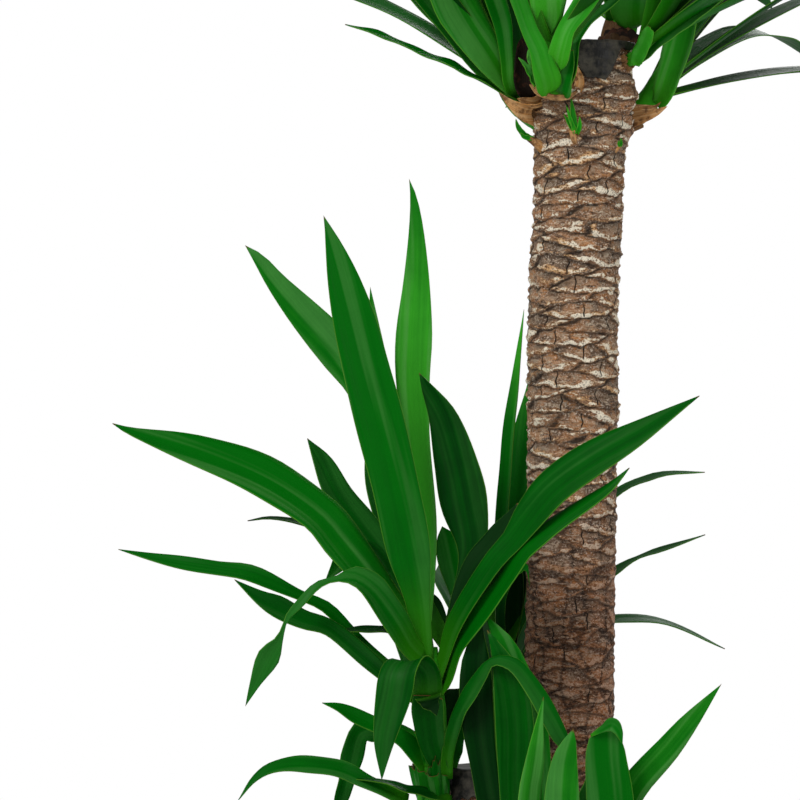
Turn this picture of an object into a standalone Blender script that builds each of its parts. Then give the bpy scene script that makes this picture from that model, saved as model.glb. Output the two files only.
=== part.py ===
# A potted yucca. Three sawn canes of one plant stand in a nursery pot of soil, each with a wax skin
# on its cut top, and leafy shoots grow from the sides of the canes just below their tops.
# Metres, +Z up. The origin is the centre of the pot's base, and the plant's front faces -Y.

import math
import random

import bpy
import numpy as np
from mathutils import Vector

# Driving dimensions
potHeight = 0.265
potTopRadius = 0.140
potBaseRadius = 0.104
potWall = 0.0026
potFloor = 0.0030
potRimHeight = 0.028
potRimStep = 0.0035
potSides = 36
potEdge = 0.003
drainCount = 6
drainRing = 0.070
drainRadius = 0.006
drainSides = 10
soilTop = 0.250
soilUneven = 0.004
soilRings = (0.82, 0.56, 0.28)
buriedLength = 0.100
fitGap = 0.0003

# Each cane: its radius, and its middle line from where it leaves the soil to its sawn top
canes = {
    "tall": {"radius": 0.0365, "line": [(0.022, 0.030, 0.250), (0.034, 0.030, 1.270), (0.043, 0.030, 1.350)]},
    "middle": {"radius": 0.0310, "line": [(-0.048, -0.022, 0.250), (-0.041, -0.024, 0.752)]},
    "short": {"radius": 0.0270, "line": [(0.040, -0.062, 0.250), (0.040, -0.064, 0.450)]},
}
caneSides = 14
scarRow = 0.026
scarRelief = 0.0016
scarWave = 0.0040
scarWaves = 5
barkJitter = 0.0007
waxDrip = 0.036
waxLip = 0.008
waxThickness = 0.0012
collarHeight = 0.007
collarReach = 0.017
budCollarHeight = 0.0025
headSwell = 0.0040
headSwellBelow = 0.055
headSwellLength = 0.030

# Wax drips: the directions, in degrees, between which the skin runs down the side of each cane
dripSectors = {"tall": (-85, -50), "middle": (-130, -90), "short": (-140, -60)}

# Each shoot: its cane, its root inside the cane, the line of its stem and the stem's radius
shoots = {
    "shoot_tall_left": ("tall", [(0.016, 0.026, 1.282), (-0.012, 0.022, 1.304), (-0.026, 0.017, 1.334)], 0.0120),
    "shoot_tall_front": ("tall", [(0.026, 0.010, 1.294), (0.014, -0.022, 1.314), (0.011, -0.032, 1.344)], 0.0145),
    "shoot_tall_back": ("tall", [(0.050, 0.050, 1.296), (0.064, 0.084, 1.324), (0.068, 0.094, 1.362)], 0.0115),
    "shoot_tall_right": ("tall", [(0.060, 0.020, 1.302), (0.086, 0.006, 1.322), (0.096, 0.000, 1.350)], 0.0095),
    "shoot_tall_far": ("tall", [(0.054, 0.042, 1.268), (0.092, 0.060, 1.298), (0.106, 0.066, 1.326)], 0.0110),
    "shoot_middle_left": ("middle", [(-0.056, -0.030, 0.668), (-0.084, -0.046, 0.698), (-0.085, -0.050, 0.765),
                                     (-0.085, -0.050, 0.842)], 0.0110),
    "shoot_middle_rear": ("middle", [(-0.038, -0.008, 0.700), (-0.028, 0.026, 0.738), (-0.026, 0.034, 0.790),
                                     (-0.025, 0.038, 0.840)], 0.0085),
    "shoot_short_left": ("short", [(0.032, -0.070, 0.398), (0.010, -0.090, 0.424), (0.006, -0.093, 0.475)], 0.0090),
    "shoot_short_right": ("short", [(0.050, -0.070, 0.410), (0.074, -0.086, 0.436), (0.078, -0.089, 0.482)], 0.0090),
}

# Leaves placed by hand: width, the way the upper face looks, and the midrib from its root to its tip
placedLeaves = {
    "shoot_middle_left": [
        (0.036, (0.3, -0.65, 0.7), [(-0.085, -0.050, 0.835), (-0.125, -0.062, 0.890), (-0.160, -0.072, 0.935),
                                    (-0.230, -0.085, 0.995), (-0.330, -0.100, 1.030)]),
        (0.030, (0.1, -0.35, 0.9), [(-0.085, -0.050, 0.812), (-0.135, -0.058, 0.845), (-0.200, -0.058, 0.900),
                                    (-0.235, -0.055, 0.915), (-0.275, -0.050, 0.920), (-0.335, -0.045, 0.930)]),
        (0.030, (0.2, -0.55, 0.8), [(-0.085, -0.050, 0.800), (-0.125, -0.070, 0.832), (-0.160, -0.080, 0.858),
                                    (-0.200, -0.085, 0.880), (-0.240, -0.090, 0.905)]),
        (0.034, (0.2, -1.0, 0.1), [(-0.088, -0.046, 0.835), (-0.105, -0.015, 0.920), (-0.125, 0.005, 0.995),
                                   (-0.155, 0.020, 1.065), (-0.195, 0.030, 1.125), (-0.240, 0.035, 1.180)]),
        (0.045, (0.1, -1.0, 0.0), [(-0.085, -0.055, 0.825), (-0.090, -0.067, 0.875), (-0.100, -0.075, 0.925),
                                   (-0.115, -0.080, 0.990), (-0.135, -0.084, 1.055), (-0.170, -0.075, 1.200)]),
        (0.020, (0.9, -0.4, 0.1), [(-0.085, -0.044, 0.838), (-0.100, -0.022, 0.955), (-0.110, -0.008, 1.035),
                                   (-0.125, -0.002, 1.105), (-0.135, 0.004, 1.145)]),
        (0.032, (0.0, -1.0, 0.1), [(-0.083, -0.047, 0.838), (-0.082, -0.030, 0.890), (-0.085, -0.016, 0.955),
                                   (-0.095, -0.004, 1.020), (-0.100, 0.004, 1.105), (-0.100, 0.006, 1.235)]),
        (0.038, (-0.2, -1.0, 0.0), [(-0.083, -0.051, 0.838), (-0.063, -0.048, 0.890), (-0.050, -0.045, 0.950),
                                    (-0.057, -0.042, 0.995), (-0.075, -0.040, 1.035), (-0.095, -0.040, 1.075)]),
        (0.030, (0.3, -0.8, 0.5), [(-0.088, -0.047, 0.830), (-0.110, -0.030, 0.900), (-0.130, -0.016, 0.945),
                                   (-0.155, -0.008, 0.980), (-0.190, 0.000, 1.020)]),
        (0.022, (0.1, -0.3, 0.9), [(-0.088, -0.046, 0.820), (-0.110, -0.035, 0.885), (-0.130, -0.032, 0.922),
                                   (-0.170, -0.032, 0.945), (-0.200, -0.033, 0.955), (-0.235, -0.035, 0.955)]),
        (0.028, (0.3, -0.6, 0.7), [(-0.087, -0.054, 0.820), (-0.108, -0.080, 0.860), (-0.130, -0.096, 0.895),
                                   (-0.152, -0.106, 0.913), (-0.180, -0.114, 0.905), (-0.205, -0.119, 0.880),
                                   (-0.220, -0.122, 0.845), (-0.237, -0.124, 0.812)]),
        (0.032, (0.1, -0.9, 0.4), [(-0.086, -0.055, 0.790), (-0.090, -0.082, 0.825), (-0.100, -0.100, 0.840),
                                   (-0.114, -0.112, 0.828), (-0.122, -0.118, 0.800), (-0.127, -0.122, 0.745)]),
        (0.038, (-0.35, -0.75, 0.5), [(-0.084, -0.055, 0.815), (-0.068, -0.076, 0.860), (-0.050, -0.088, 0.897),
                                      (-0.030, -0.097, 0.935), (-0.005, -0.106, 0.970), (0.030, -0.116, 0.997),
                                      (0.065, -0.126, 1.018), (0.100, -0.136, 1.035), (0.155, -0.150, 1.055)]),
        (0.028, (-0.4, -0.6, 0.7), [(-0.083, -0.054, 0.798), (-0.060, -0.078, 0.852), (-0.040, -0.092, 0.892),
                                    (-0.015, -0.104, 0.923), (0.015, -0.114, 0.947), (0.050, -0.122, 0.972),
                                    (0.070, -0.126, 0.992)]),
        (0.018, (0.2, -0.6, 0.8), [(-0.086, -0.051, 0.730), (-0.104, -0.064, 0.760), (-0.135, -0.078, 0.790),
                                   (-0.150, -0.083, 0.802), (-0.172, -0.088, 0.808)]),
        (0.020, (0.4, -0.7, 0.6), [(-0.087, -0.048, 0.742), (-0.110, -0.042, 0.778), (-0.135, -0.045, 0.793),
                                   (-0.152, -0.050, 0.778), (-0.160, -0.053, 0.750), (-0.166, -0.056, 0.712)]),
        (0.022, (0.1, -0.5, 0.9), [(-0.086, -0.051, 0.715), (-0.112, -0.075, 0.738), (-0.135, -0.086, 0.752),
                                   (-0.160, -0.092, 0.763), (-0.190, -0.098, 0.768), (-0.215, -0.102, 0.760),
                                   (-0.250, -0.108, 0.722)]),
        (0.026, (0.1, -1.0, 0.2), [(-0.085, -0.053, 0.730), (-0.086, -0.072, 0.762), (-0.087, -0.080, 0.800),
                                   (-0.088, -0.086, 0.816)]),
        (0.028, (0.1, -0.8, 0.6), [(-0.084, -0.053, 0.722), (-0.074, -0.084, 0.785), (-0.064, -0.096, 0.812),
                                   (-0.047, -0.106, 0.838), (-0.028, -0.114, 0.848), (-0.010, -0.120, 0.836),
                                   (0.004, -0.125, 0.812), (0.028, -0.132, 0.752)]),
    ],
    "shoot_middle_rear": [
        (0.020, (-0.4, -0.9, 0.1), [(-0.026, 0.037, 0.830), (-0.031, 0.046, 0.920), (-0.026, 0.052, 0.975),
                                    (-0.017, 0.056, 1.050), (-0.009, 0.058, 1.120)]),
        (0.028, (-0.4, -0.9, 0.1), [(-0.025, 0.038, 0.825), (-0.026, 0.066, 0.915), (-0.020, 0.082, 0.965),
                                    (-0.008, 0.094, 1.060)]),
        (0.024, (0.1, -0.2, 1.0), [(-0.025, 0.039, 0.818), (-0.014, 0.090, 0.885), (0.030, 0.128, 0.942),
                                   (0.082, 0.140, 0.976), (0.120, 0.146, 0.989), (0.170, 0.150, 0.987)]),
        (0.024, (0.1, -0.2, 1.0), [(-0.026, 0.038, 0.800), (-0.008, 0.096, 0.850), (0.035, 0.122, 0.885),
                                   (0.080, 0.132, 0.911), (0.120, 0.140, 0.928), (0.180, 0.146, 0.940)]),
        (0.018, (0.1, -0.2, 1.0), [(-0.026, 0.037, 0.785), (0.000, 0.102, 0.835), (0.045, 0.124, 0.858),
                                   (0.085, 0.134, 0.864), (0.120, 0.140, 0.860), (0.170, 0.146, 0.838)]),
    ],
    "shoot_short_left": [
        (0.042, (-0.2, -1.0, 0.0), [(0.005, -0.093, 0.466), (-0.020, -0.088, 0.570), (-0.038, -0.076, 0.690),
                                    (-0.045, -0.074, 0.765), (-0.046, -0.078, 0.836)]),
        (0.044, (0.1, -1.0, 0.0), [(0.006, -0.094, 0.468), (-0.010, -0.100, 0.570), (-0.018, -0.098, 0.670),
                                   (-0.020, -0.096, 0.765), (-0.020, -0.098, 0.850)]),
        (0.034, (0.3, -0.9, 0.1), [(0.006, -0.095, 0.464), (0.000, -0.125, 0.575), (-0.006, -0.140, 0.670),
                                   (-0.006, -0.148, 0.745), (-0.001, -0.152, 0.815)]),
        (0.038, (0.1, -1.0, 0.1), [(0.007, -0.095, 0.460), (0.014, -0.132, 0.580), (0.016, -0.150, 0.675),
                                   (0.018, -0.158, 0.735), (0.026, -0.162, 0.790)]),
    ],
    "shoot_short_right": [
        (0.044, (0.1, -1.0, 0.1), [(0.077, -0.089, 0.470), (0.070, -0.125, 0.575), (0.062, -0.140, 0.675),
                                   (0.055, -0.146, 0.750), (0.050, -0.151, 0.800), (0.058, -0.160, 0.814),
                                   (0.070, -0.168, 0.786)]),
        (0.042, (-0.3, -1.0, 0.1), [(0.078, -0.088, 0.468), (0.076, -0.108, 0.575), (0.084, -0.120, 0.670),
                                    (0.090, -0.126, 0.735), (0.107, -0.134, 0.780), (0.132, -0.142, 0.812)]),
    ],
    "shoot_tall_left": [
        (0.048, (0.4, -0.9, 0.3), [(-0.018, 0.018, 1.310), (-0.034, 0.010, 1.330), (-0.054, 0.000, 1.352),
                                   (-0.072, -0.012, 1.388), (-0.112, -0.040, 1.472), (-0.155, -0.070, 1.560),
                                   (-0.200, -0.095, 1.625)]),
        (0.032, (0.5, -0.6, 0.6), [(-0.020, 0.018, 1.312), (-0.056, 0.032, 1.342), (-0.105, 0.046, 1.390),
                                   (-0.170, 0.062, 1.462), (-0.240, 0.080, 1.530)]),
        (0.034, (0.4, -0.9, 0.1), [(-0.022, 0.017, 1.320), (-0.032, 0.020, 1.352), (-0.040, 0.022, 1.390),
                                   (-0.062, 0.024, 1.495), (-0.092, 0.026, 1.600), (-0.115, 0.026, 1.670)]),
        (0.022, (0.2, -0.5, 0.8), [(-0.015, 0.018, 1.305), (-0.046, -0.002, 1.320), (-0.085, -0.025, 1.338),
                                   (-0.130, -0.045, 1.354), (-0.158, -0.055, 1.364)]),
    ],
    "shoot_tall_front": [
        (0.036, (0.2, -0.9, 0.2), [(0.012, -0.029, 1.322), (0.004, -0.042, 1.345), (-0.014, -0.056, 1.385),
                                   (-0.040, -0.080, 1.450), (-0.070, -0.112, 1.520), (-0.095, -0.138, 1.570)]),
        (0.042, (0.1, -1.0, 0.1), [(0.011, -0.031, 1.330), (0.010, -0.040, 1.355), (0.009, -0.046, 1.385),
                                   (0.000, -0.060, 1.500), (-0.012, -0.084, 1.610)]),
        (0.036, (-0.2, -0.9, 0.3), [(0.012, -0.030, 1.326), (0.025, -0.042, 1.350), (0.045, -0.055, 1.385),
                                    (0.080, -0.088, 1.450), (0.118, -0.120, 1.512), (0.145, -0.150, 1.550)]),
        (0.022, (-0.1, -0.6, 0.8), [(0.013, -0.029, 1.324), (0.034, -0.040, 1.352), (0.070, -0.050, 1.380),
                                    (0.095, -0.056, 1.394), (0.120, -0.062, 1.396)]),
    ],
    "shoot_tall_right": [
        (0.020, (-0.8, -0.6, 0.2), [(0.095, 0.002, 1.330), (0.090, -0.003, 1.350), (0.082, -0.006, 1.368)]),
    ],
}

# Leaves that fill each shoot by rule: how many, the middle of their fan and its half width in
# degrees, the lowest and highest rise in degrees, the longest leaf and its width
leafFans = {
    "shoot_tall_left": (6, 172, 60, 28, 78, 0.400, 0.036),
    "shoot_tall_front": (5, -95, 46, 24, 70, 0.390, 0.036),
    "shoot_tall_back": (9, 88, 60, 26, 82, 0.420, 0.038),
    "shoot_tall_right": (8, -30, 34, 24, 72, 0.370, 0.034),
    "shoot_tall_far": (8, 32, 34, 16, 64, 0.380, 0.036),
    "shoot_middle_left": (5, 102, 14, 24, 60, 0.290, 0.032),
    "shoot_middle_rear": (8, 90, 20, 14, 44, 0.290, 0.034),
    "shoot_short_left": (6, -122, 44, 14, 58, 0.330, 0.036),
    "shoot_short_right": (8, -15, 60, 14, 62, 0.330, 0.036),
}
stemSides = 8
leafSegments = 6
fanSteps = 5
fanDroop = (52, 12)  # how far the lowest and the highest leaf bend down, in degrees
fanRoll = 0.25
leafNeck = 0.38
leafWidest = 0.6
leafThickness = 0.0018
leafFold = 0.16
goldenShare = 0.618034

# Buds on the tall cane below its crown: direction in degrees, height, length and width
buds = {
    "bud_left": (-162, 1.251, 0.020, 0.011),
    "bud_front": (-88, 1.254, 0.028, 0.010),
    "bud_right": (-28, 1.244, 0.012, 0.007),
}

budCane = "tall"
budDepth = 0.006
budNeck = 0.0165

# Each material's linear colour and roughness
colours = {
    "pot": ((0.030, 0.031, 0.033), 0.55),
    "soil": ((0.040, 0.024, 0.014), 0.95),
    "bark": ((0.215, 0.135, 0.085), 0.90),
    "wax": ((0.022, 0.021, 0.018), 0.35),
    "leaf": ((0.020, 0.130, 0.018), 0.38),
    "bud": ((0.070, 0.250, 0.030), 0.45),
}


def clearScene():
    for obj in list(bpy.data.objects):
        bpy.data.objects.remove(obj, do_unlink=True)


def material(name):
    colour, roughness = colours[name]
    made = bpy.data.materials.new(name)
    made.use_nodes = True
    shader = made.node_tree.nodes["Principled BSDF"]
    shader.inputs["Base Color"].default_value = (*colour, 1)
    shader.inputs["Roughness"].default_value = roughness
    shader.inputs["Metallic"].default_value = 0
    return made


def finish(obj, materialName, sharpDegrees=40):
    obj.data.materials.clear()
    obj.data.materials.append(material(materialName))
    obj.data.shade_smooth()
    obj.data.set_sharp_from_angle(angle=math.radians(sharpDegrees))


# A closed skin over rings of points. Neighbouring faces are split along mirrored diagonals, so that
# the upper and the under face of a blade are split alike. A ring of one point closes an end.
def skinned(name, rings):
    points = [p for ring in rings for p in ring]
    faces = []
    start = 0
    for lower, upper in zip(rings, rings[1:]):
        following = start + len(lower)
        count = max(len(lower), len(upper))
        for k in range(count):
            after = (k + 1) % count
            if len(upper) == 1:
                faces.append((start + k, start + after, following))
            elif len(lower) == 1:
                faces.append((start, following + after, following + k))
            elif k % 2:
                faces.append((start + k, start + after, following + k))
                faces.append((start + after, following + after, following + k))
            else:
                faces.append((start + k, start + after, following + after))
                faces.append((start + k, following + after, following + k))
        start = following
    if len(rings[0]) > 1:
        faces.append(tuple(reversed(range(len(rings[0])))))
    if len(rings[-1]) > 1:
        faces.append(tuple(range(start, start + len(rings[-1]))))
    mesh = bpy.data.meshes.new(name)
    mesh.from_pydata([tuple(p) for p in points], [], faces)
    obj = bpy.data.objects.new(name, mesh)
    bpy.context.scene.collection.objects.link(obj)
    return obj


def turnsOf(sides):
    return [2 * math.pi * k / sides for k in range(sides)]


def circle(radius, height, sides, centre=(0, 0)):
    return [Vector((centre[0] + radius * math.cos(turn), centre[1] + radius * math.sin(turn), height))
            for turn in turnsOf(sides)]


def applyModifiers(obj):
    graph = bpy.context.evaluated_depsgraph_get()
    applied = bpy.data.meshes.new_from_object(obj.evaluated_get(graph))
    obj.modifiers.clear()
    obj.data = applied


def cut(obj, cutters):
    for cutter in cutters:
        modifier = obj.modifiers.new("cut", "BOOLEAN")
        modifier.operation = "DIFFERENCE"
        modifier.solver = "EXACT"
        modifier.object = cutter
    applyModifiers(obj)
    for cutter in cutters:
        bpy.data.objects.remove(cutter, do_unlink=True)


def fuse(obj, pieces):
    group = bpy.data.collections.new(obj.name + "_pieces")
    bpy.context.scene.collection.children.link(group)
    for piece in pieces:
        group.objects.link(piece)
    modifier = obj.modifiers.new("union", "BOOLEAN")
    modifier.operation = "UNION"
    modifier.solver = "EXACT"
    modifier.operand_type = "COLLECTION"
    modifier.collection = group
    applyModifiers(obj)
    for piece in pieces:
        bpy.data.objects.remove(piece, do_unlink=True)
    bpy.data.collections.remove(group)


# Evenly spaced points on a smooth curve through the given points
def smoothLine(points, count):
    knots = [Vector(p) for p in points]
    knots = [2 * knots[0] - knots[1], *knots, 2 * knots[-1] - knots[-2]]
    dense = [knots[1]]
    for before, start, end, after in zip(knots, knots[1:], knots[2:], knots[3:]):
        for t in (k / 12 for k in range(1, 13)):
            bend = 2 * before - 5 * start + 4 * end - after
            twist = 3 * start - before - 3 * end + after
            dense.append(0.5 * (2 * start + (end - before) * t + bend * t**2 + twist * t**3))
    dense = np.array(dense)
    run = np.concatenate([[0], np.cumsum(np.linalg.norm(np.diff(dense, axis=0), axis=1))])
    wanted = np.linspace(0, run[-1], count)
    return [Vector(p) for p in np.column_stack([np.interp(wanted, run, dense[:, k]) for k in range(3)])]


def directionsAlong(line):
    ends = [line[0], *line, line[-1]]
    return [(after - before).normalized() for before, after in zip(ends, ends[2:])]


# Pot and soil

def potOuter(height):
    return potBaseRadius + (potTopRadius - potBaseRadius) * height / potHeight


def makePot():
    rim = potTopRadius + potRimStep
    band = potHeight - potRimHeight
    profile = [
        (potBaseRadius - potEdge, 0), (potBaseRadius, potEdge), (potOuter(band - potEdge), band - potEdge),
        (rim - potEdge / 3, band), (rim, band + potEdge), (rim, potHeight - potEdge), (rim - potEdge, potHeight),
        (potTopRadius - potWall, potHeight), (potOuter(potFloor) - potWall, potFloor),
    ]
    rings = [circle(radius, height, potSides) for radius, height in profile]
    pot = skinned("pot", [[Vector((0, 0, 0))], *rings, [Vector((0, 0, potFloor))]])
    drains = []
    for turn in turnsOf(drainCount):
        centre = (drainRing * math.cos(turn), drainRing * math.sin(turn))
        ends = (-potFloor, 2 * potFloor)
        drains.append(skinned("drain", [circle(drainRadius, height, drainSides, centre) for height in ends]))
    cut(pot, drains)
    finish(pot, "pot")


def makeSoil():
    chance = random.Random(5)
    bottom = potFloor + fitGap
    inner = [potOuter(height) - potWall - 2 * fitGap for height in (bottom, soilTop)]
    rings = [[Vector((0, 0, bottom))], circle(inner[0], bottom, potSides),
             circle(inner[1], soilTop - soilUneven, potSides)]
    for share in soilRings:
        ring = circle(inner[1] * share, soilTop, potSides)
        for point in ring:
            point.z -= chance.uniform(0, soilUneven)
        rings.append(ring)
    soil = skinned("soil", [*rings, [Vector((0, 0, soilTop))]])
    holes = []
    for cane in canes.values():
        ends = (soilTop - buriedLength - fitGap, potHeight)
        holes.append(skinned("hole", [circle(cane["radius"] + 1.5 * fitGap, height, caneSides, cane["line"][0])
                                      for height in ends]))
    cut(soil, holes)
    finish(soil, "soil")


# Canes

def caneTop(cane):
    return cane["line"][-1][2]


def caneCentre(cane, height):
    along = [point[2] for point in cane["line"]]
    return Vector([np.interp(height, along, [point[k] for point in cane["line"]]) for k in range(2)])


# Where a straight root leaves the bark: its direction round the cane and its height
def wayOut(cane, root, beyond):
    root, beyond = Vector(root), Vector(beyond)
    for k in range(101):
        place = root.lerp(beyond, k / 100)
        outward = place.xy - caneCentre(cane, place.z)
        if outward.length > cane["radius"]:
            break
    return math.atan2(outward.y, outward.x), place.z


def collarsOf(name):
    cane = canes[name]
    found = [(*wayOut(cane, *line[:2]), collarHeight) for owner, line, _ in shoots.values() if owner == name]
    if name == budCane:
        found += [(math.radians(turn), height, budCollarHeight) for turn, height, _, _ in buds.values()]
    return found


def collarSwell(cane, collars, turn, height):
    swell = 0.0
    for collarTurn, collarAt, most in collars:
        around = math.remainder(turn - collarTurn, 2 * math.pi) * cane["radius"]
        near = max(0.0, 1 - (around**2 + (height - collarAt + 0.003) ** 2) / collarReach**2)
        swell = max(swell, most * near)
    return swell


# Below its sawn top a cane thickens a little
def headFlare(cane, height):
    return headSwell * math.exp(-((caneTop(cane) - headSwellBelow - height) / headSwellLength) ** 2)


def plainRing(cane, radius, height):
    return circle(radius, height, caneSides, caneCentre(cane, height))


# Ridges of bark run round the cane in waves, and every other ridge waves the opposite way, so that
# they close into the lens shapes of leaf scars
def makeCane(name):
    cane = canes[name]
    collars = collarsOf(name)
    chance = random.Random(name)
    radius = cane["radius"]
    smoothFrom = caneTop(cane) - waxDrip
    rings = [plainRing(cane, radius, soilTop - buriedLength), plainRing(cane, radius, soilTop + soilUneven / 2)]
    barkFrom = soilTop + 2 * soilUneven / 3
    steps = round((smoothFrom - barkFrom) / (scarRow / 2))
    for step in range(1, steps):
        height = barkFrom + step * (smoothFrom - barkFrom) / steps
        ridge = step % 2
        sway = scarWave * ridge * (1 if step % 4 == 1 else -1)
        ring = plainRing(cane, radius, height)
        centre = caneCentre(cane, height).to_3d()
        for point, turn in zip(ring, turnsOf(caneSides)):
            swell = collarSwell(cane, collars, turn, height) + headFlare(cane, height)
            relief = scarRelief * (1 if ridge else -1) + chance.uniform(-1, 1) * barkJitter
            outward = (point - centre).xy.normalized().to_3d()
            point += outward * (swell + relief)
            point.z += sway * math.sin(scarWaves * turn)
        rings.append(ring)
    rings += [plainRing(cane, radius - waxThickness, height) for height in (smoothFrom, caneTop(cane))]
    obj = skinned("cane_" + name, rings)
    sockets = [stemTube(line[:2], [stemRadius + 1.3 * fitGap] * 2, "socket", line[2], fitGap)
               for owner, line, stemRadius in shoots.values() if owner == name]
    if name == budCane:
        sockets += [stemTube(budRoot(bud), [bud[3] * 0.5 + 1.3 * fitGap] * 2, "socket", None, fitGap)
                    for bud in buds.values()]
    cut(obj, sockets)
    finish(obj, "bark", 30)


def makeWax(name):
    cane = canes[name]
    chance = random.Random(name + "wax")
    inner = cane["radius"] - waxThickness + fitGap
    start, end = (math.radians(turn) for turn in dripSectors[name])
    edges = []
    for turn in turnsOf(caneSides):
        facing = math.remainder(turn, 2 * math.pi)
        drip = chance.uniform(0.62, 0.97) * waxDrip if start <= facing <= end else waxLip
        edges.append(caneTop(cane) - drip)

    def edgeRing(radius):
        return [circle(radius, edge, caneSides, caneCentre(cane, edge))[k] for k, edge in enumerate(edges)]

    lid = caneTop(cane) + fitGap
    head = caneCentre(cane, caneTop(cane)).to_3d()
    rings = [
        [head + Vector((0, 0, lid))], circle(inner, lid, caneSides, head), edgeRing(inner),
        edgeRing(inner + waxThickness), circle(inner + waxThickness, lid + waxThickness / 2, caneSides, head),
        circle(inner, lid + waxThickness, caneSides, head), [head + Vector((0, 0, lid + waxThickness))],
    ]
    finish(skinned("wax_" + name, rings), "wax")


# Shoots

# A tube of rings along a line. With ahead, the last ring is mitred towards that point.
def stemTube(line, radii, name, ahead=None, back=0.0):
    line = [Vector(p) for p in line]
    line[0] = line[0] - (line[1] - line[0]).normalized() * back
    aims = directionsAlong(line + ([Vector(ahead)] if ahead else []))
    aims[0] = (line[1] - line[0]).normalized()
    rings = []
    for place, aim, radius in zip(line, aims, radii):
        across = aim.cross(Vector((0.2, 1, 0.1))).normalized()
        away = aim.cross(across)
        rings.append([place + (across * math.cos(turn) + away * math.sin(turn)) * radius
                      for turn in turnsOf(stemSides)])
    return skinned(name, rings)


# A leaf's width along it: a narrow neck, widest at three fifths, then a long point
def leafShare(along):
    narrowing = max(0.0, 1 - along / leafWidest)
    closing = max(0.0, (along - leafWidest) / (1 - leafWidest))
    return (leafNeck + (1 - leafNeck) * (1 - narrowing**1.5)) * (1 - closing**2.8)


# One blade: four points a ring, at both edges and on and under the midrib, with the edges raised
def leafPiece(width, face, points, segments=0):
    line = smoothLine(points, (segments or max(leafSegments, len(points))) + 1)
    rings = []
    for k, (place, aim) in enumerate(zip(line[:-1], directionsAlong(line))):
        across = aim.cross(Vector(face)).normalized()
        up = across.cross(aim)
        half = width / 2 * leafShare(k / (len(line) - 1))
        thick = min(leafThickness, half) / 2
        raised = up * leafFold * half
        rings.append([place + across * half + raised, place - up * thick,
                      place - across * half + raised, place + up * thick])
    return skinned("leaf", [*rings, [line[-1]]])


# The leaves that fill a shoot: the lowest spring first and reach out, the highest stand up
def fanLeaves(name):
    count, middle, spread, lowRise, highRise, longest, width = leafFans[name]
    stem = smoothLine(shoots[name][1][1:], 20)
    chance = random.Random(name)
    made = []
    for k in range(count):
        share = (k + 0.5) / count
        turn = math.radians(middle + spread * (2 * ((k * goldenShare + 0.3) % 1) - 1))
        rise = lowRise + (highRise - lowRise) * share + chance.uniform(-3, 3)
        droop = fanDroop[0] + (fanDroop[1] - fanDroop[0]) * share
        length = longest * (0.78 + 0.22 * math.sin(math.pi * (0.15 + 0.75 * share)))
        outward = Vector((math.cos(turn), math.sin(turn), 0))
        place = stem[int((0.25 + 0.7 * share) * (len(stem) - 1))] + outward * shoots[name][2] * 0.35
        points = [place]
        for step in range(fanSteps):
            climb = math.radians(rise - droop * ((step + 0.5) / fanSteps) ** 1.6)
            heading = outward * math.cos(climb) + Vector((0, 0, math.sin(climb)))
            points.append(points[-1] + heading * length / fanSteps)
        tilt = math.radians(rise - droop / 3)
        roll = chance.uniform(-fanRoll, fanRoll)
        face = Vector((-math.cos(turn) * math.sin(tilt) - roll * math.sin(turn),
                       -math.sin(turn) * math.sin(tilt) + roll * math.cos(turn), math.cos(tilt)))
        made.append((width * chance.uniform(0.88, 1.08), face, points))
    return made


def makeShoot(name):
    _, line, radius = shoots[name]
    tip = Vector(line[-1]) + (Vector(line[-1]) - Vector(line[-2])).normalized() * radius
    body = [*line, tip]
    radii = [radius] * 2 + [radius * 0.9] * (len(line) - 3) + [radius * 0.7, radius * 0.2]
    stem = stemTube(body, radii, name)
    leaves = placedLeaves.get(name, []) + fanLeaves(name)
    fuse(stem, [leafPiece(*leaf) for leaf in leaves])
    finish(stem, "leaf")


# Buds

def budRoot(bud):
    turn, height = bud[:2]
    cane = canes[budCane]
    outward = Vector((math.cos(math.radians(turn)), math.sin(math.radians(turn)), 0.45)).normalized()
    start = caneCentre(cane, height).to_3d() + Vector((0, 0, height)) + outward * (cane["radius"] - budDepth)
    return [start, start + outward * budNeck * 1.5]


def makeBud(name):
    length, width = buds[name][2:]
    root, swollen = budRoot(buds[name])
    outward = (swollen - root).normalized()
    upward = (outward + Vector((0, 0, 1.2))).normalized()
    neck = root + outward * budNeck
    body = stemTube([root, neck, neck + upward * length * 0.4, neck + upward * length * 0.75],
                    [width * 0.5, width * 0.5, width * 0.4, width * 0.1], name)
    aside = outward.cross(Vector((0, 0, 1))).normalized()
    aim = (upward + aside * 0.4).normalized()
    scale = leafPiece(width * 0.9, -outward, [neck + upward * length * 0.1, neck + aim * length * 0.6,
                                              neck + aim * length], 3)
    fuse(body, [scale])
    finish(body, "bud")


clearScene()
makePot()
makeSoil()
for caneName in canes:
    makeCane(caneName)
    makeWax(caneName)
for shootName in shoots:
    makeShoot(shootName)
for budName in buds:
    makeBud(budName)
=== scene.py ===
import math
import random

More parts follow.
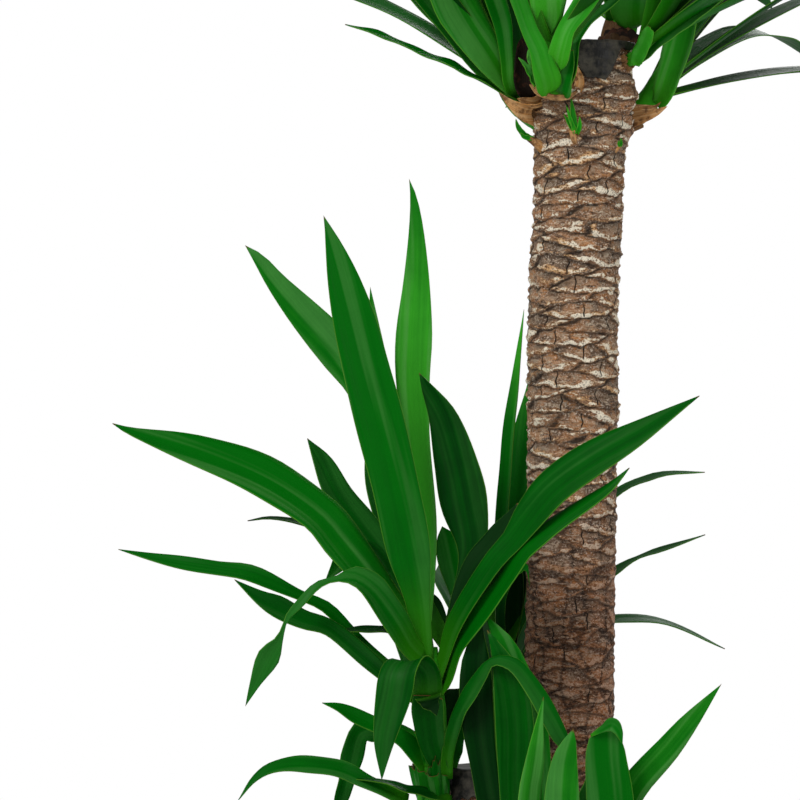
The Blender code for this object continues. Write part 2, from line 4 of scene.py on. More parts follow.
import bmesh
import bpy
import numpy as np
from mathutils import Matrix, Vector


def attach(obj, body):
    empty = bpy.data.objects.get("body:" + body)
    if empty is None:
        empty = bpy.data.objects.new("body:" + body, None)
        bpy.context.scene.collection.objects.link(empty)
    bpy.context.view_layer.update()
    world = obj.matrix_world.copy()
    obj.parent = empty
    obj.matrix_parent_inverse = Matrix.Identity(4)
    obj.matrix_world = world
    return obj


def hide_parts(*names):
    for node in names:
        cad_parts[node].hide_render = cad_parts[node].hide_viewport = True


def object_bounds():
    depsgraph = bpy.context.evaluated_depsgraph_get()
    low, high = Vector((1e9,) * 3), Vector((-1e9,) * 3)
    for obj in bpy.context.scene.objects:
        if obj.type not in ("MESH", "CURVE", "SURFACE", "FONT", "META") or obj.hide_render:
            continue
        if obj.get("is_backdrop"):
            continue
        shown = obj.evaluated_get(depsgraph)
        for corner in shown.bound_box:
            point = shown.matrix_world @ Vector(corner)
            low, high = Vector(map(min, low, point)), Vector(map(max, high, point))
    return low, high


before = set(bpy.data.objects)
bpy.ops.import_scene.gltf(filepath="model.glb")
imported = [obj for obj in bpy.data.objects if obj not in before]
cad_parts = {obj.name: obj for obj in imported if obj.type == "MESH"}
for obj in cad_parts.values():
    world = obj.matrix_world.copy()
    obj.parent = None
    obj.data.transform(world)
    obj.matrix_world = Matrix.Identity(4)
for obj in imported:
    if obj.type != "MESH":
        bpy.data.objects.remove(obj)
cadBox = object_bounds()
scene = bpy.context.scene
scene.view_settings.view_transform = "Standard"
fullTurn = 2 * math.pi


# Small tools

def fromHex(text):  # an sRGB hex colour as linear light
    parts = [int(text[k:k + 2], 16) / 255 for k in (0, 2, 4)]
    return (*[c / 12.92 if c < 0.04045 else ((c + 0.055) / 1.055) ** 2.4 for c in parts], 1)


# Adds a node with its settings, gives each named socket a link, a hex colour or a value; returns one output
def addNode(owner, kind, sockets, out=0, **settings):
    node = owner.node_tree.nodes.new("ShaderNode" + kind)
    for name, value in settings.items():
        setattr(node, name, value)
    for key, value in sockets.items():
        if isinstance(value, bpy.types.NodeSocket):
            owner.node_tree.links.new(value, node.inputs[key])
        else:
            node.inputs[key].default_value = fromHex(value) if isinstance(value, str) else value
    return node.outputs[out] if len(node.outputs) else node


# Lays colours over a first one: each with the field it follows, the field's values where it starts and where
# it is full, and how much of it then shows
def layColours(owner, colour, *layers, easing="SMOOTHSTEP"):
    for paint, field, start, full, most in layers:
        share = addNode(owner, "MapRange", {"Value": field, "From Min": start, "From Max": full,
                                            "To Max": most}, interpolation_type=easing)
        colour = addNode(owner, "Mix", {0: share, 6: colour, 7: paint}, 2, data_type="RGBA")
    return colour


# Adds fields to a first one, each as far as it departs from its middle, 0.5, times its strength
def addFields(owner, value, *fields):
    for field, strength in fields:
        part = addNode(owner, "Math", {0: field, 1: strength, 2: -0.5 * strength}, operation="MULTIPLY_ADD")
        value = addNode(owner, "Math", {0: value, 1: part}, operation="ADD")
    return value


def newMaterial(name, **constants):  # a Principled material with its constant values on its own sockets
    made = bpy.data.materials.new(name)
    made.use_nodes = True
    for socket, value in constants.items():
        made.node_tree.nodes["Principled BSDF"].inputs[socket.replace("_", " ")].default_value = value
    return made


def connect(owner, **sockets):
    shader = owner.node_tree.nodes["Principled BSDF"]
    for name, socket in sockets.items():
        owner.node_tree.links.new(socket, shader.inputs[name.replace("_", " ")])
    return owner


def metres(points):
    return [Vector(point) / 1000 for point in points]


# Evenly spaced points on a smooth curve through the given points. What follows x, y and z goes along.
def smoothLine(points, count):
    knots = [Vector(p) for p in points]
    knots = [2 * knots[0] - knots[1], *knots, 2 * knots[-1] - knots[-2]]
    dense = [knots[1]]
    for before, start, end, after in zip(knots, knots[1:], knots[2:], knots[3:]):
        for t in (k / 12 for k in range(1, 13)):
            bend = 2 * before - 5 * start + 4 * end - after
            twist = 3 * start - before - 3 * end + after
            dense.append(0.5 * (2 * start + (end - before) * t + bend * t**2 + twist * t**3))
    dense = np.array(dense)
    run = np.concatenate([[0], np.cumsum(np.linalg.norm(np.diff(dense[:, :3], axis=0), axis=1))])
    wanted = np.linspace(0, run[-1], count)
    return [Vector([np.interp(at, run, part) for part in dense.T]) for at in wanted]


def directionsAlong(line):
    ends = [line[0], *line, line[-1]]
    return [(after - before).normalized() for before, after in zip(ends, ends[2:])]


# A grid whose every vertex is moved by place(share across 0..1, share along 0..1, vertex)
def bentGrid(work, across, along, place):
    for vertex in bmesh.ops.create_grid(work, x_segments=across, y_segments=along, size=1)["verts"]:
        vertex.co = place((vertex.co.x + 1) / 2, (vertex.co.y + 1) / 2, vertex)


def makeObject(work, name):
    mesh = bpy.data.meshes.new(name)
    work.to_mesh(mesh)
    work.free()
    made = bpy.data.objects.new(name, mesh)
    scene.collection.objects.link(made)
    return made


# Turns a bmesh into a finished piece: seams and poles merged, faces outwards, smooth
def finishPiece(work, name, material, replaced=(), thick=0, outward=1, weld=2e-5):
    bmesh.ops.remove_doubles(work, verts=work.verts, dist=weld)
    bmesh.ops.recalc_face_normals(work, faces=work.faces)
    piece = makeObject(work, name)
    piece.data.materials.append(material)
    piece.data.shade_smooth()
    if thick:
        shell = piece.modifiers.new("thickness", "SOLIDIFY")
        shell.thickness = thick
        shell.offset = outward
    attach(piece, "root")
    if replaced:
        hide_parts(*replaced)
    return piece


# Materials

# Corky yucca bark: dull scars of fallen leaves, pale dry cork along each scar's lower lip, dark grooves and
# drying cracks. It is rough and scatters all light. The scar pattern comes with the mesh; grain is 1 to 4 mm.
def corkyBark():
    made = newMaterial("corky yucca bark", Roughness=0.88, IOR=1.45, Specular_IOR_Level=0.25)
    spot = addNode(made, "TexCoord", {}, "Object")
    form, tint, place = (addNode(made, "SeparateXYZ", {0: source}).node.outputs for source in (
        addNode(made, "Attribute", {}, "Vector", attribute_name="scarForm"),
        addNode(made, "Attribute", {}, "Vector", attribute_name="scarTint"), spot))
    ringwise, upright = (  # the grain runs round the cane, the fissures up it
        addNode(made, "Mapping", {"Vector": spot, "Scale": (1, 1, stretch)}) for stretch in (2.6, 0.55))
    streaks, crumbs, patches, flakes, specks = (
        addNode(made, "TexNoise", {"Vector": where, "Scale": perMetre, "Detail": detail, "Roughness": rough,
                                   "Distortion": bent})
        for where, perMetre, detail, rough, bent in (
            (ringwise, 150, 10, 0.72, 0.7), (spot, 620, 4, 0.7, 0), (spot, 30, 3, 0.55, 0.5),
            (ringwise, 62, 6, 0.62, 1), (spot, 60, 4, 0.6, 0)))
    lip = addFields(made, form[0], (flakes, 2.6), (streaks, 2.2), (crumbs, 1.2))
    # groove also carries the painted shadow under each lip, which the mesh adds to it
    groove = addFields(made, form[1], (streaks, 2.6), (flakes, 2.0))
    cleft = addFields(made, addNode(made, "Math", {0: form[2]}, operation="ABSOLUTE"), (crumbs, -1.6))
    net = addFields(made, addNode(made, "TexVoronoi", {"Vector": upright, "Scale": 40},
                                  feature="DISTANCE_TO_EDGE"), (streaks, 0.5))

    age = addNode(made, "MapRange", {"Value": place[2], "From Min": 1.03, "From Max": 0.86},
                  interpolation_type="SMOOTHSTEP")  # the lower bark is older, darker and smoother
    corky, paler, deep, duller, netted, *cracked = (
        addNode(made, "MapRange", {"Value": field, "From Min": start, "From Max": full, "To Min": least,
                                   "To Max": most}, interpolation_type="SMOOTHSTEP")
        for field, start, full, least, most in (
            (lip, 0.60, 0.80, 0, 1), (age, 0, 1, 1, 0.34), (groove, 0.62, 1, 0, 0.85), (age, 0, 1, 1, 0.6),
            (net, 0.045, 0.010, 0, 0.6), (cleft, 0.75, 0.25, 0, 1), (tint[2], 0.1, 0.5, 0, 1)))
    fade, deep, crack, fissure = (
        addNode(made, "Math", {0: one, 1: other}, operation="MULTIPLY")
        for one, other in ((corky, paler), (deep, duller), cracked, (netted, age)))
    crack = addNode(made, "Math", {0: crack, 1: fissure}, operation="MAXIMUM")

    colour = layColours(
        made, "7d644f", ("b6855e", addFields(made, patches, (tint[0], 0.16)), 0.42, 0.58, 1),
        ("c8813c", specks, 0.54, 0.64, 0.5), ("554338", flakes, 0.47, 0.38, 0.70),
        ("e8c7a4", flakes, 0.53, 0.63, 0.60), ("fae6c8", streaks, 0.515, 0.61, 0.68),
        ("35281f", streaks, 0.475, 0.38, 0.66), ("faead6", crumbs, 0.54, 0.64, 0.66),
        ("231813", crumbs, 0.45, 0.34, 0.65),
        ("8f6038", addFields(made, tint[1], (streaks, 1.2)), 0.45, 1, 0.45),
        ("ab6c3a", lip, 0.40, 0.62, 0.55),  # a rusty edge
        # painted shade: the grooves and the band of scar under each lip are darkened
        ("3a2b22", groove, 0.10, 0.60, 0.55))
    cork = layColours(made, "e3b480", ("fff2da", addFields(made, lip, (patches, 2.4)), 0.62, 1.02, 1),
                      ("5c3e2b", crumbs, 0.48, 0.40, 0.70))
    for paint, share, mode in ((cork, fade, "MIX"), ("1a120e", deep, "MIX"), ("120c09", crack, "MIX"),
                               ("e6d6d2", age, "MULTIPLY")):
        colour = addNode(made, "Mix", {0: share, 6: colour, 7: paint}, 2, data_type="RGBA", blend_type=mode)
    depth = addNode(made, "Math", {0: fade, 1: 0.35}, operation="MULTIPLY")
    depth = addFields(made, depth, (streaks, 1.4), (crumbs, 0.9))
    depth = addNode(made, "Math", {0: crack, 1: -0.8, 2: depth}, operation="MULTIPLY_ADD")
    bump = addNode(made, "Bump", {"Strength": 1, "Distance": 0.0027, "Height": depth})
    return connect(made, Base_Color=colour, Normal=bump)


# Black tree wax, brushed on thick: near-black, half glossy, with brush ridges 3 mm apart and dust on it
def treeWax():
    made = newMaterial("black tree wax", IOR=1.44, Specular_IOR_Level=0.2)
    spot = addNode(made, "TexCoord", {}, "Object")
    brushed = addNode(made, "Mapping", {"Vector": spot, "Rotation": (0, 0, 0.5), "Scale": (1, 1, 0.4)})
    ridges = addNode(made, "TexNoise", {"Vector": brushed, "Scale": 330, "Detail": 4})
    dust = addNode(made, "TexNoise", {"Vector": spot, "Scale": 60, "Detail": 6, "Roughness": 0.7})
    colour = layColours(made, "171716", ("47433a", dust, 0.42, 0.62, 1), easing="LINEAR")
    rough = addNode(made, "MapRange", {"Value": dust, "From Min": 0.42, "From Max": 0.62, "To Min": 0.36,
                                       "To Max": 0.7})
    bump = addNode(made, "Bump", {"Strength": 0.5, "Distance": 0.0014, "Height": ridges})
    return connect(made, Base_Color=colour, Roughness=rough, Normal=bump)


# Yucca leaf: a waxy cuticle over parallel veins. It gives a soft broad gloss, fine lengthwise streaks, broad
# bands of painted sheen, a yellower root, a thin horny margin and a dry brown point. Veins stand 2 mm apart
# and the bands about 10 mm; each leaf has its own tone, which paints its green together with the shade or
# light on it.
def waxyLeaf(name="waxy yucca leaf", dark="002605", middle="005a06", light="359a22"):
    made = newMaterial(name, IOR=1.45, Specular_IOR_Level=0.05)
    blade, tint = (addNode(made, "Attribute", {}, "Vector", attribute_name=layer)
                   for layer in ("bladePlace", "bladeTint"))
    tone, along, side = addNode(made, "SeparateXYZ", {0: tint}).node.outputs
    veins, stripes, bands = (
        addNode(made, "TexNoise", {"Scale": 1, "Detail": detail, "Vector": addNode(
            made, "Mapping", {"Vector": blade, "Scale": grain})})
        for grain, detail in (((9, 480, 90), 2), ((4, 150, 90), 3), ((2.5, 95, 90), 2)))
    mottle = addNode(made, "TexNoise", {"Vector": blade, "Scale": 55, "Detail": 4})
    shade = addFields(made, tone, (stripes, 0.16), (veins, 0.16), (mottle, 0.12))
    # painted sheen: pale bands that grow with the leaf's painted tone, standing for the sheen on its lit
    # parts
    paintedSheen = addNode(made, "MapRange", {"Value": shade, "From Min": 0.1, "To Min": 0.02, "To Max": 0.27},
                    interpolation_type="SMOOTHSTEP")
    edge = addNode(made, "Math", {0: side}, operation="ABSOLUTE")
    colour = layColours(
        made, dark, (middle, shade, 0, 0.5, 1), (light, shade, 0.5, 1, 1),
        ("73a965", bands, 0.45, 0.60, paintedSheen), ("439c0a", along, 0.24, 0, 0.36),
        ("63992f", edge, 0.96, 1, 0.40), ("5b4a24", along, 0.988, 0.998, 1))
    gloss = addNode(made, "MapRange", {"Value": veins, "From Min": 0.3, "From Max": 0.7, "To Min": 0.40,
                                       "To Max": 0.52}, interpolation_type="SMOOTHSTEP")
    bump = addNode(made, "Bump", {"Strength": 0.5, "Distance": 0.0006, "Height": veins})
    return connect(made, Base_Color=colour, Roughness=gloss, Normal=bump)


# Papery dry sheath: the tan skins of old leaf feet, matt, thin, with fine lengthwise fibres 0.8 mm apart
def drySheath():
    made = newMaterial("papery dry sheath", IOR=1.45, Roughness=0.75, Specular_IOR_Level=0.15)
    blade, tint = (addNode(made, "Attribute", {}, "Vector", attribute_name=layer)
                   for layer in ("bladePlace", "bladeTint"))
    tone = addNode(made, "SeparateXYZ", {0: tint})
    blotches = addNode(made, "TexNoise", {"Vector": addNode(made, "TexCoord", {}, "Object"), "Scale": 90,
                                          "Detail": 5, "Roughness": 0.7})
    lengthwise = addNode(made, "Mapping", {"Vector": blade, "Scale": (25, 1200, 60)})
    fibres = addNode(made, "TexNoise", {"Vector": lengthwise, "Scale": 1, "Detail": 4})
    pale = addNode(made, "Math", {0: tone, 1: 0.7}, operation="MULTIPLY")
    tan = layColours(made, "150c06", ("c68a4c", tone, 0, 1, 1), ("d9b98c", fibres, 0.4, 0.65, pale),
                     ("3f2214", blotches, 0.5, 0.62, 0.75), easing="LINEAR")
    bump = addNode(made, "Bump", {"Strength": 0.6, "Distance": 0.0008, "Height": fibres})
    return connect(made, Base_Color=tan, Normal=bump)


# Potting soil: coir and peat crumbs of 1 to 6 mm, matt and dark, with paler fibres
def pottingSoil():
    made = newMaterial("potting soil", IOR=1.45, Roughness=0.97, Specular_IOR_Level=0.15)
    spot = addNode(made, "TexCoord", {}, "Object")
    crumbs = addNode(made, "TexVoronoi", {"Vector": spot, "Scale": 260}, "Distance")
    grain = addNode(made, "TexNoise", {"Vector": spot, "Scale": 340, "Detail": 6, "Roughness": 0.7})
    brown = layColours(made, "1d130d", ("5a4130", grain, 0, 1, 1), ("8b6d4e", grain, 0.62, 0.72, 0.6),
                       easing="LINEAR")
    bump = addNode(made, "Bump", {"Strength": 0.6, "Distance": 0.001, "Height": grain})
    bump = addNode(made, "Bump", {"Strength": 0.9, "Distance": 0.003, "Height": crumbs, "Normal": bump})
    return connect(made, Base_Color=brown, Normal=bump)


# Injection-moulded polypropylene: dark grey with a fine spark-eroded grain of about 1 mm, and scuffs
def mouldedPot():
    made = newMaterial("moulded polypropylene", IOR=1.49)
    spot = addNode(made, "TexCoord", {}, "Object")
    grain = addNode(made, "TexNoise", {"Vector": spot, "Scale": 900, "Detail": 2})
    upright = addNode(made, "Mapping", {"Vector": spot, "Scale": (1, 1, 0.25)})
    scuffs = addNode(made, "TexNoise", {"Vector": upright, "Scale": 45, "Detail": 7, "Roughness": 0.75})
    colour = layColours(made, "2b2c2e", ("4b4b4c", scuffs, 0.5, 0.8, 1), easing="LINEAR")
    rough = addNode(made, "MapRange", {"Value": scuffs, "From Min": 0.5, "From Max": 0.8, "To Min": 0.42,
                                       "To Max": 0.62})
    bump = addNode(made, "Bump", {"Strength": 0.25, "Distance": 0.0003, "Height": grain})
    return connect(made, Base_Color=colour, Roughness=rough, Normal=bump)


# Canes. Each is a radius, its middle line from where it leaves the soil to its sawn top, and where its wax
# runs down: from and to which direction in degrees, and how far for a share of the longest run.
canes = {
    "tall": {"radius": 0.0365, "line": [
        (0.0220, 0.030, 0.250), (0.0305, 0.030, 0.870), (0.0328, 0.030, 1.050), (0.0324, 0.030, 1.100),
        (0.0334, 0.030, 1.144), (0.0364, 0.030, 1.206), (0.0384, 0.030, 1.250), (0.0455, 0.030, 1.350)],
        "wax": (-106, -55, 1.0)},
    "middle": {"radius": 0.0310, "line": [(-0.048, -0.022, 0.250), (-0.041, -0.024, 0.752)],
               "wax": (-150, -60, 0.78)},
    "short": {"radius": 0.0270, "line": [(0.040, -0.062, 0.250), (0.040, -0.064, 0.450)],
              "wax": (-150, -50, 0.8)},
}
bark = {
    "foot": 0.151, "soilLine": 0.250, "columns": 112, "fineRow": 0.00098, "coarseRow": 0.0026,
    "fineFrom": 0.70, "scarHigh": 0.0058, "scarWide": 0.0235, "scarStep": 0.00275, "goldenTurn": 2.39996,
    "lip": 0.0014, "groove": 0.0013, "unevenness": 0.0006, "crackShare": 0.7, "oldSmooth": 0.45,
}
headSwell = {"most": 0.0040, "below": 0.055, "length": 0.030}
collars = {  # callus rings round the shoots and buds: direction in degrees, height of the middle, swelling
    "tall": [(-163, 1.298, 0.007), (-120, 1.306, 0.009), (62, 1.312, 0.007), (-29, 1.312, 0.007),
             (25, 1.284, 0.007), (-162, 1.251, 0.0025), (-88, 1.254, 0.0025), (-28, 1.244, 0.0025)],
    "middle": [(-150, 0.683, 0.007), (78, 0.722, 0.007)],
    "short": [(-135, 0.408, 0.007), (-35, 0.424, 0.007)],
}
oldBuds = {  # round scars of buds that never grew: direction in degrees and height
    "tall": [(-70, 1.194), (-143, 1.180), (-36, 1.146), (40, 1.10), (130, 0.98), (170, 1.16), (95, 0.78)],
}


def caneTop(cane):
    return cane["line"][-1][2]


def caneCentre(cane, height):
    along = [point[2] for point in cane["line"]]
    return Vector([np.interp(height, along, [point[k] for point in cane["line"]]) for k in range(2)])


def signedTurn(turn):  # an angle as one from minus to plus half a turn
    return (turn + math.pi) % fullTurn - math.pi


# Smooth noise that closes round the cane: a few sines of whole turns with chance phases
def roundNoise(turn, height, turns, perMetre, seed, waves=7):
    chance = random.Random(seed)
    total = np.zeros(np.broadcast(turn, height).shape)
    for _ in range(waves):
        about = chance.randint(-turns, turns)
        total += np.sin(about * turn + height * chance.uniform(0.3, 1) * perMetre + chance.uniform(0, 6.28))
    return total / math.sqrt(waves)


# Leaf scars lie on a spiral. Every point belongs to its nearest scar, and the line between two scars is a
# groove with a corky lip on the scar above it. The lengths are in millimetres.
def scarFields(name, turn, height):
    cane, chance = canes[name], random.Random(name + "scars")
    radius = cane["radius"] * 1000
    shape = np.broadcast(turn, height).shape
    high, wide = bark["scarHigh"] * 1000, bark["scarWide"] * 1000
    warpZ = height * 1000 + 1.6 * roundNoise(turn, height, 5, 90, name + "z") + 0.9 * roundNoise(
        turn, height, 14, 420, name + "zz") + 0.45 * roundNoise(turn, height, 34, 900, name + "zzz", 11)
    warpU = 3.6 * roundNoise(turn, height, 4, 160, name + "u")
    best, owner = np.full((2, *shape), 99.0), np.full((2, *shape), -1)
    scars = []
    for k in range(round((caneTop(cane) - bark["foot"]) / bark["scarStep"]) + 8):
        middle = (bark["foot"] + (k - 3) * bark["scarStep"]) * 1000 + chance.uniform(-2.2, 2.2)
        scars.append((k * bark["goldenTurn"] + chance.uniform(-0.22, 0.22), middle,
                      chance.uniform(-9, 9) if chance.random() < bark["crackShare"] else 99,
                      chance.random(), chance.random(), chance.uniform(0.75, 1.3)))
        rows = np.flatnonzero(np.abs(height[:, 0] * 1000 - middle) < 4.2 * high)
        if not len(rows):
            continue
        part = slice(rows[0], rows[-1] + 1)
        reach = np.hypot((signedTurn(turn - scars[k][0]) * radius + warpU[part]) / (wide * scars[k][5]),
                         (warpZ[part] - middle) / high)
        first, second = best[0, part], best[1, part]
        nearer, between = reach < first, (reach >= first) & (reach < second)
        best[1, part] = np.where(nearer, first, np.where(between, reach, second))
        owner[1, part] = np.where(nearer, owner[0, part], np.where(between, k, owner[1, part]))
        best[0, part] = np.where(nearer, reach, first)
        owner[0, part] = np.where(nearer, k, owner[0, part])
    scars = np.array(scars)
    mine, other = scars[owner[0]], scars[owner[1]]
    apart = np.hypot(signedTurn(mine[..., 0] - other[..., 0]) * radius / wide,
                     (mine[..., 1] - other[..., 1]) / high)
    edge = (best[1] ** 2 - best[0] ** 2) / (2 * np.maximum(apart, 0.3)) * high
    edge *= np.where(mine[..., 1] > other[..., 1], 1, -1)
    crack = signedTurn(turn - mine[..., 0]) * radius - mine[..., 2]
    crack -= 0.7 * roundNoise(turn, height, 3, 900, name + "c")
    crackOn = np.clip(1.25 - np.abs(warpZ - mine[..., 1]) / high, 0, 1) * (mine[..., 2] < 50)
    return edge, np.clip(crack, -12, 12), crackOn, mine[..., 3], mine[..., 4]


def barkRadius(name, turn, height):  # the surface of a cane, with what its material reads
    cane = canes[name]
    edge, crack, crackOn, tone, cork = scarFields(name, turn, height)
    broken = 0.5 + 0.35 * roundNoise(turn, height, 18, 500, name + "b", 12)
    lip = np.exp(-(((edge - 1.9) / 2.1) ** 2)) * np.clip(0.35 + 0.6 * cork + 0.5 * broken, 0, 1.3)
    groove = np.exp(-(((edge + 0.6) / 0.8) ** 2))
    shadow = np.where(edge < 0, 0.6 * np.exp(edge / 3.2), 0.0)  # painted shadow: the scar below is darkened under each lip
    plate = np.where(edge > 0, np.exp(-np.abs(edge) / 4.5), -0.75 * np.exp(-np.abs(edge) / 3.0))
    plate *= 1 - np.exp(-((edge / 0.8) ** 2))  # the step between two scars isn't a knife edge
    grain = np.random.default_rng(len(name)).normal(size=(3, *edge.shape))
    for k in range(3):
        for _ in range((1, 3, 9)[k]):  # three sizes of roughness, longer round the cane than up it
            grain[k] = (np.roll(grain[k], 1, 1) + grain[k] + np.roll(grain[k], -1, 1)) / 3
            grain[k, 1:-1] = (grain[k, :-2] + 2 * grain[k, 1:-1] + grain[k, 2:]) / 4
        grain[k] /= grain[k].std()
    relief = bark["lip"] * (0.55 * plate + 0.45 * lip)
    relief -= bark["groove"] * 0.6 * groove * np.clip(broken, 0.2, 1)
    relief += 0.00028 * grain[0] + 0.00034 * grain[1] + 0.00030 * grain[2]
    relief += bark["unevenness"] * 0.6 * roundNoise(turn, height, 5, 60, name + "l")
    relief *= 1 - bark["oldSmooth"] * np.clip((1.02 - height) / 0.12, 0, 1)
    relief -= 0.0009 * np.exp(-((crack / 1.1) ** 2)) * crackOn
    ring, callus = np.zeros_like(edge), np.zeros_like(edge)
    for degrees, at in oldBuds.get(name, ()):
        away = np.hypot(signedTurn(turn - math.radians(degrees)) * cane["radius"], height - at) * 1000
        away += 1.3 * grain[2] + 0.8 * grain[1]
        ring = np.maximum(ring, np.exp(-(((away - 3.2) / 2.6) ** 2)) + 0.5 * np.exp(-((away / 2.5) ** 2)))
        relief += 0.0015 * np.exp(-((away / 5.5) ** 2)) - 0.0010 * np.exp(-((away / 1.8) ** 2))
    fromSwell = (caneTop(cane) - headSwell["below"] - height) / headSwell["length"]
    swell = headSwell["most"] * np.exp(-(fromSwell**2))
    for degrees, at, most in collars[name]:
        aside = signedTurn(turn - math.radians(degrees)) * cane["radius"]
        near = np.clip(1 - (aside**2 + (height - at + 0.003) ** 2) / 0.017**2, 0, 1)
        swell = np.maximum(swell, swell + (most - 0.3 * headSwell["most"]) * near)
        callus = np.maximum(callus, np.sqrt(near))
    buried = np.clip((height - bark["soilLine"]) / 0.006, 0, 1)
    waxed = np.clip((height - caneTop(cane) + 0.034) / 0.008, 0, 1)  # the bark is trimmed flat under the wax
    radius = cane["radius"] - 0.0012 + buried * (relief * (1 - 0.75 * waxed) + swell + 0.0018)
    return radius, np.maximum(lip, ring * 1.05), np.maximum(groove, shadow), crack, tone, callus, crackOn


def makeBark(name, material):
    cane, top = canes[name], caneTop(canes[name])
    fineFrom = min(bark["fineFrom"], top - 0.3) if name == "tall" else top - 0.16
    height = np.concatenate([np.arange(bark["foot"], fineFrom, bark["coarseRow"]), np.linspace(
        fineFrom, top - 0.0003, round((top - fineFrom) / bark["fineRow"]))])[:, None]
    turn = np.linspace(0, fullTurn, bark["columns"] + 1)[None, :-1]
    radius, *marks = barkRadius(name, turn, height)
    centres = [caneCentre(cane, at) for at in height[:, 0]]
    work = bmesh.new()
    layers = [work.verts.layers.float_vector.new(layer) for layer in ("scarForm", "scarTint")]
    lastRow = len(height) + 1

    def place(around, up, vertex):
        row, column = round(up * lastRow) - 1, round(around * bark["columns"]) % bark["columns"]
        inside = min(max(row, 0), len(height) - 1)
        here = [mark[inside, column] for mark in marks]
        vertex[layers[0]], vertex[layers[1]] = here[:3], here[3:]
        reach = radius[inside, column] if row == inside else 0
        at = turn[0, column]
        return (centres[inside].x + reach * math.cos(at), centres[inside].y + reach * math.sin(at),
                height[inside, 0])

    bentGrid(work, bark["columns"], lastRow, place)
    finishPiece(work, "bark" + name.capitalize(), material, ["cane_" + name])


# Shoots, in millimetres. Each: the stem's radius, a fan of leaves made by rule (how many, its middle and half
# width in degrees, lowest and highest rise, the longest leaf and its width), the numbers of the fan's leaves
# that placed ones stand for, the stem's line from the root inside the cane, and the listed leaves: the tone
# from dark to light, which paints the shade or light on the leaf along with its green, or two at the foot and
# the point, the way or ways that the upper face looks, and x, y, z and width along the midrib.
shoots = {}
shoots["shoot_tall_left"] = {"radius": 12, "fan": (6, 172, 60, 28, 78, 400, 36), "stem": [(16, 26, 1282),
    (-12, 22, 1304), (-26, 17, 1334)], "leaves": [
    (0.64, (3.5, -9, 3), [(-18, 14, 1303, 21), (-18, 4, 1310, 19), (-29, -6, 1320, 19), (-40, -16, 1336, 31),
     (-59, -28, 1363, 41), (-71, -38, 1386, 44), (-95, -70, 1453, 37), (-139, -98, 1589, 0)]),
    (0.44, (5, -6, 6), [(-15, 20, 1308, 18), (-35, 34, 1339, 33), (-77, 48, 1374, 37), (-116, 62, 1423, 41),
     (-167, 78, 1491, 20), (-186, 82, 1529, 0)]),
    (0.6, (4, -9, 1), [(-15, 17, 1317, 8), (-23, 20, 1351, 15), (-35, 23, 1393, 23), (-48, 24, 1447, 26),
     (-80, 26, 1556, 24), (-110, 26, 1666, 0)]),
    (0.42, (2, -3.5, 9), [(-17, 10, 1302, 13), (-35, -6, 1311, 15), (-64, -22, 1325, 21),
     (-100, -38, 1339, 13), (-127, -48, 1350, 13), (-156, -58, 1358, 0)]),
    (0.56, (1, -10, 1.5), [(-16, 8, 1303, 11), (-22, -6, 1315, 10), (-24, -14, 1336, 11),
     (-27, -22, 1360, 15), (-34, -32, 1382, 18), (-54, -56, 1438, 19), (-76, -96, 1525, 0)]),
    (0.38, (2, -9, 3), [(-18, 16, 1308, 14), (-45, 6, 1333, 22), (-80, -8, 1374, 21), (-107, -18, 1410, 23),
     (-144, -30, 1458, 0)]),
    (0.16, (2, -10, 1), [(-12, 12, 1305, 11), (-13, 12, 1328, 14), (-13, 10, 1349, 20), (-17, 6, 1370, 21),
     (-24, 0, 1386, 19), (-46, -18, 1434, 21), (-82, -30, 1516, 0)]),
]}
shoots["shoot_tall_front"] = {"radius": 12, "fan": (5, -95, 46, 24, 70, 390, 36), "skip": (0, 2), "stem": [
    (28, 4, 1319), (11, -22, 1319), (9, -33, 1346)], "leaves": [
    ((0.74, 0.64), (1.5, -10, 1), [(10, -26, 1304, 3), (10, -34, 1307, 18), (9, -42, 1314, 23),
     (5, -48, 1325, 20), (1, -52, 1338, 16), (-7, -57, 1354, 14), (-15, -66, 1375, 14), (-31, -88, 1413, 14),
     (-68, -120, 1474, 0)]),
    (1.2, (0, -10, 1), [(9, -34, 1340, 2), (8, -40, 1354, 10), (9, -50, 1366, 21), (8, -62, 1377, 29),
     (6, -106, 1420, 37), (2, -170, 1482, 28), (-1, -240, 1548, 0)]),
    ((0.84, 0.6), (-2, -9.5, 2), [(17, -38, 1323, 4), (17, -50, 1330, 17), (19, -58, 1340, 18),
     (24, -63, 1355, 15), (38, -72, 1375, 18), (59, -92, 1412, 19), (89, -146, 1482, 0)]),
    ((0.5, 0.26), (-2, -7, 6.5), [(25, -26, 1309, 7), (29, -32, 1320, 9), (31, -35, 1333, 7),
     (33, -37, 1347, 6), (41, -40, 1360, 9), (54, -43, 1371, 9), (83, -50, 1395, 0)]),
    (0.46, (-3, -9.5, 1), [(22, -22, 1303, 2), (21, -30, 1306, 17), (22, -34, 1311, 16), (24, -38, 1318, 12),
     (27, -40, 1328, 8), (28, -40, 1339, 4)]),
    (0.72, (3, -9, 3), [(0, -30, 1312, 8), (-5, -36, 1321, 7), (-10, -38, 1328, 4), (-15, -39, 1333, 0)]),
    (0.86, (2, -10, 1), [(-1, -30, 1325, 6), (-5, -34, 1331, 5), (-6, -36, 1336, 4), (-7, -37, 1340, 0)]),
]}
shoots["shoot_tall_back"] = {"radius": 11.5, "fan": (9, 88, 60, 26, 82, 420, 38), "stem": [(60, 60, 1320),
    (76, 80, 1362), (82, 90, 1386)], "leaves": [
    ((0.4, 0.2), (-1, -9.5, 2), [(86, 70, 1368, 6), (84, 60, 1375, 29), (84, 54, 1388, 38),
     (89, 60, 1419, 32), (103, 56, 1468, 23), (125, 50, 1516, 0)]),
    (0.4, (3, -9.5, 1), [(66, 84, 1372, 6), (68, 76, 1380, 13), (68, 72, 1394, 17), (63, 68, 1428, 25),
     (25, 60, 1517, 0)]),
]}
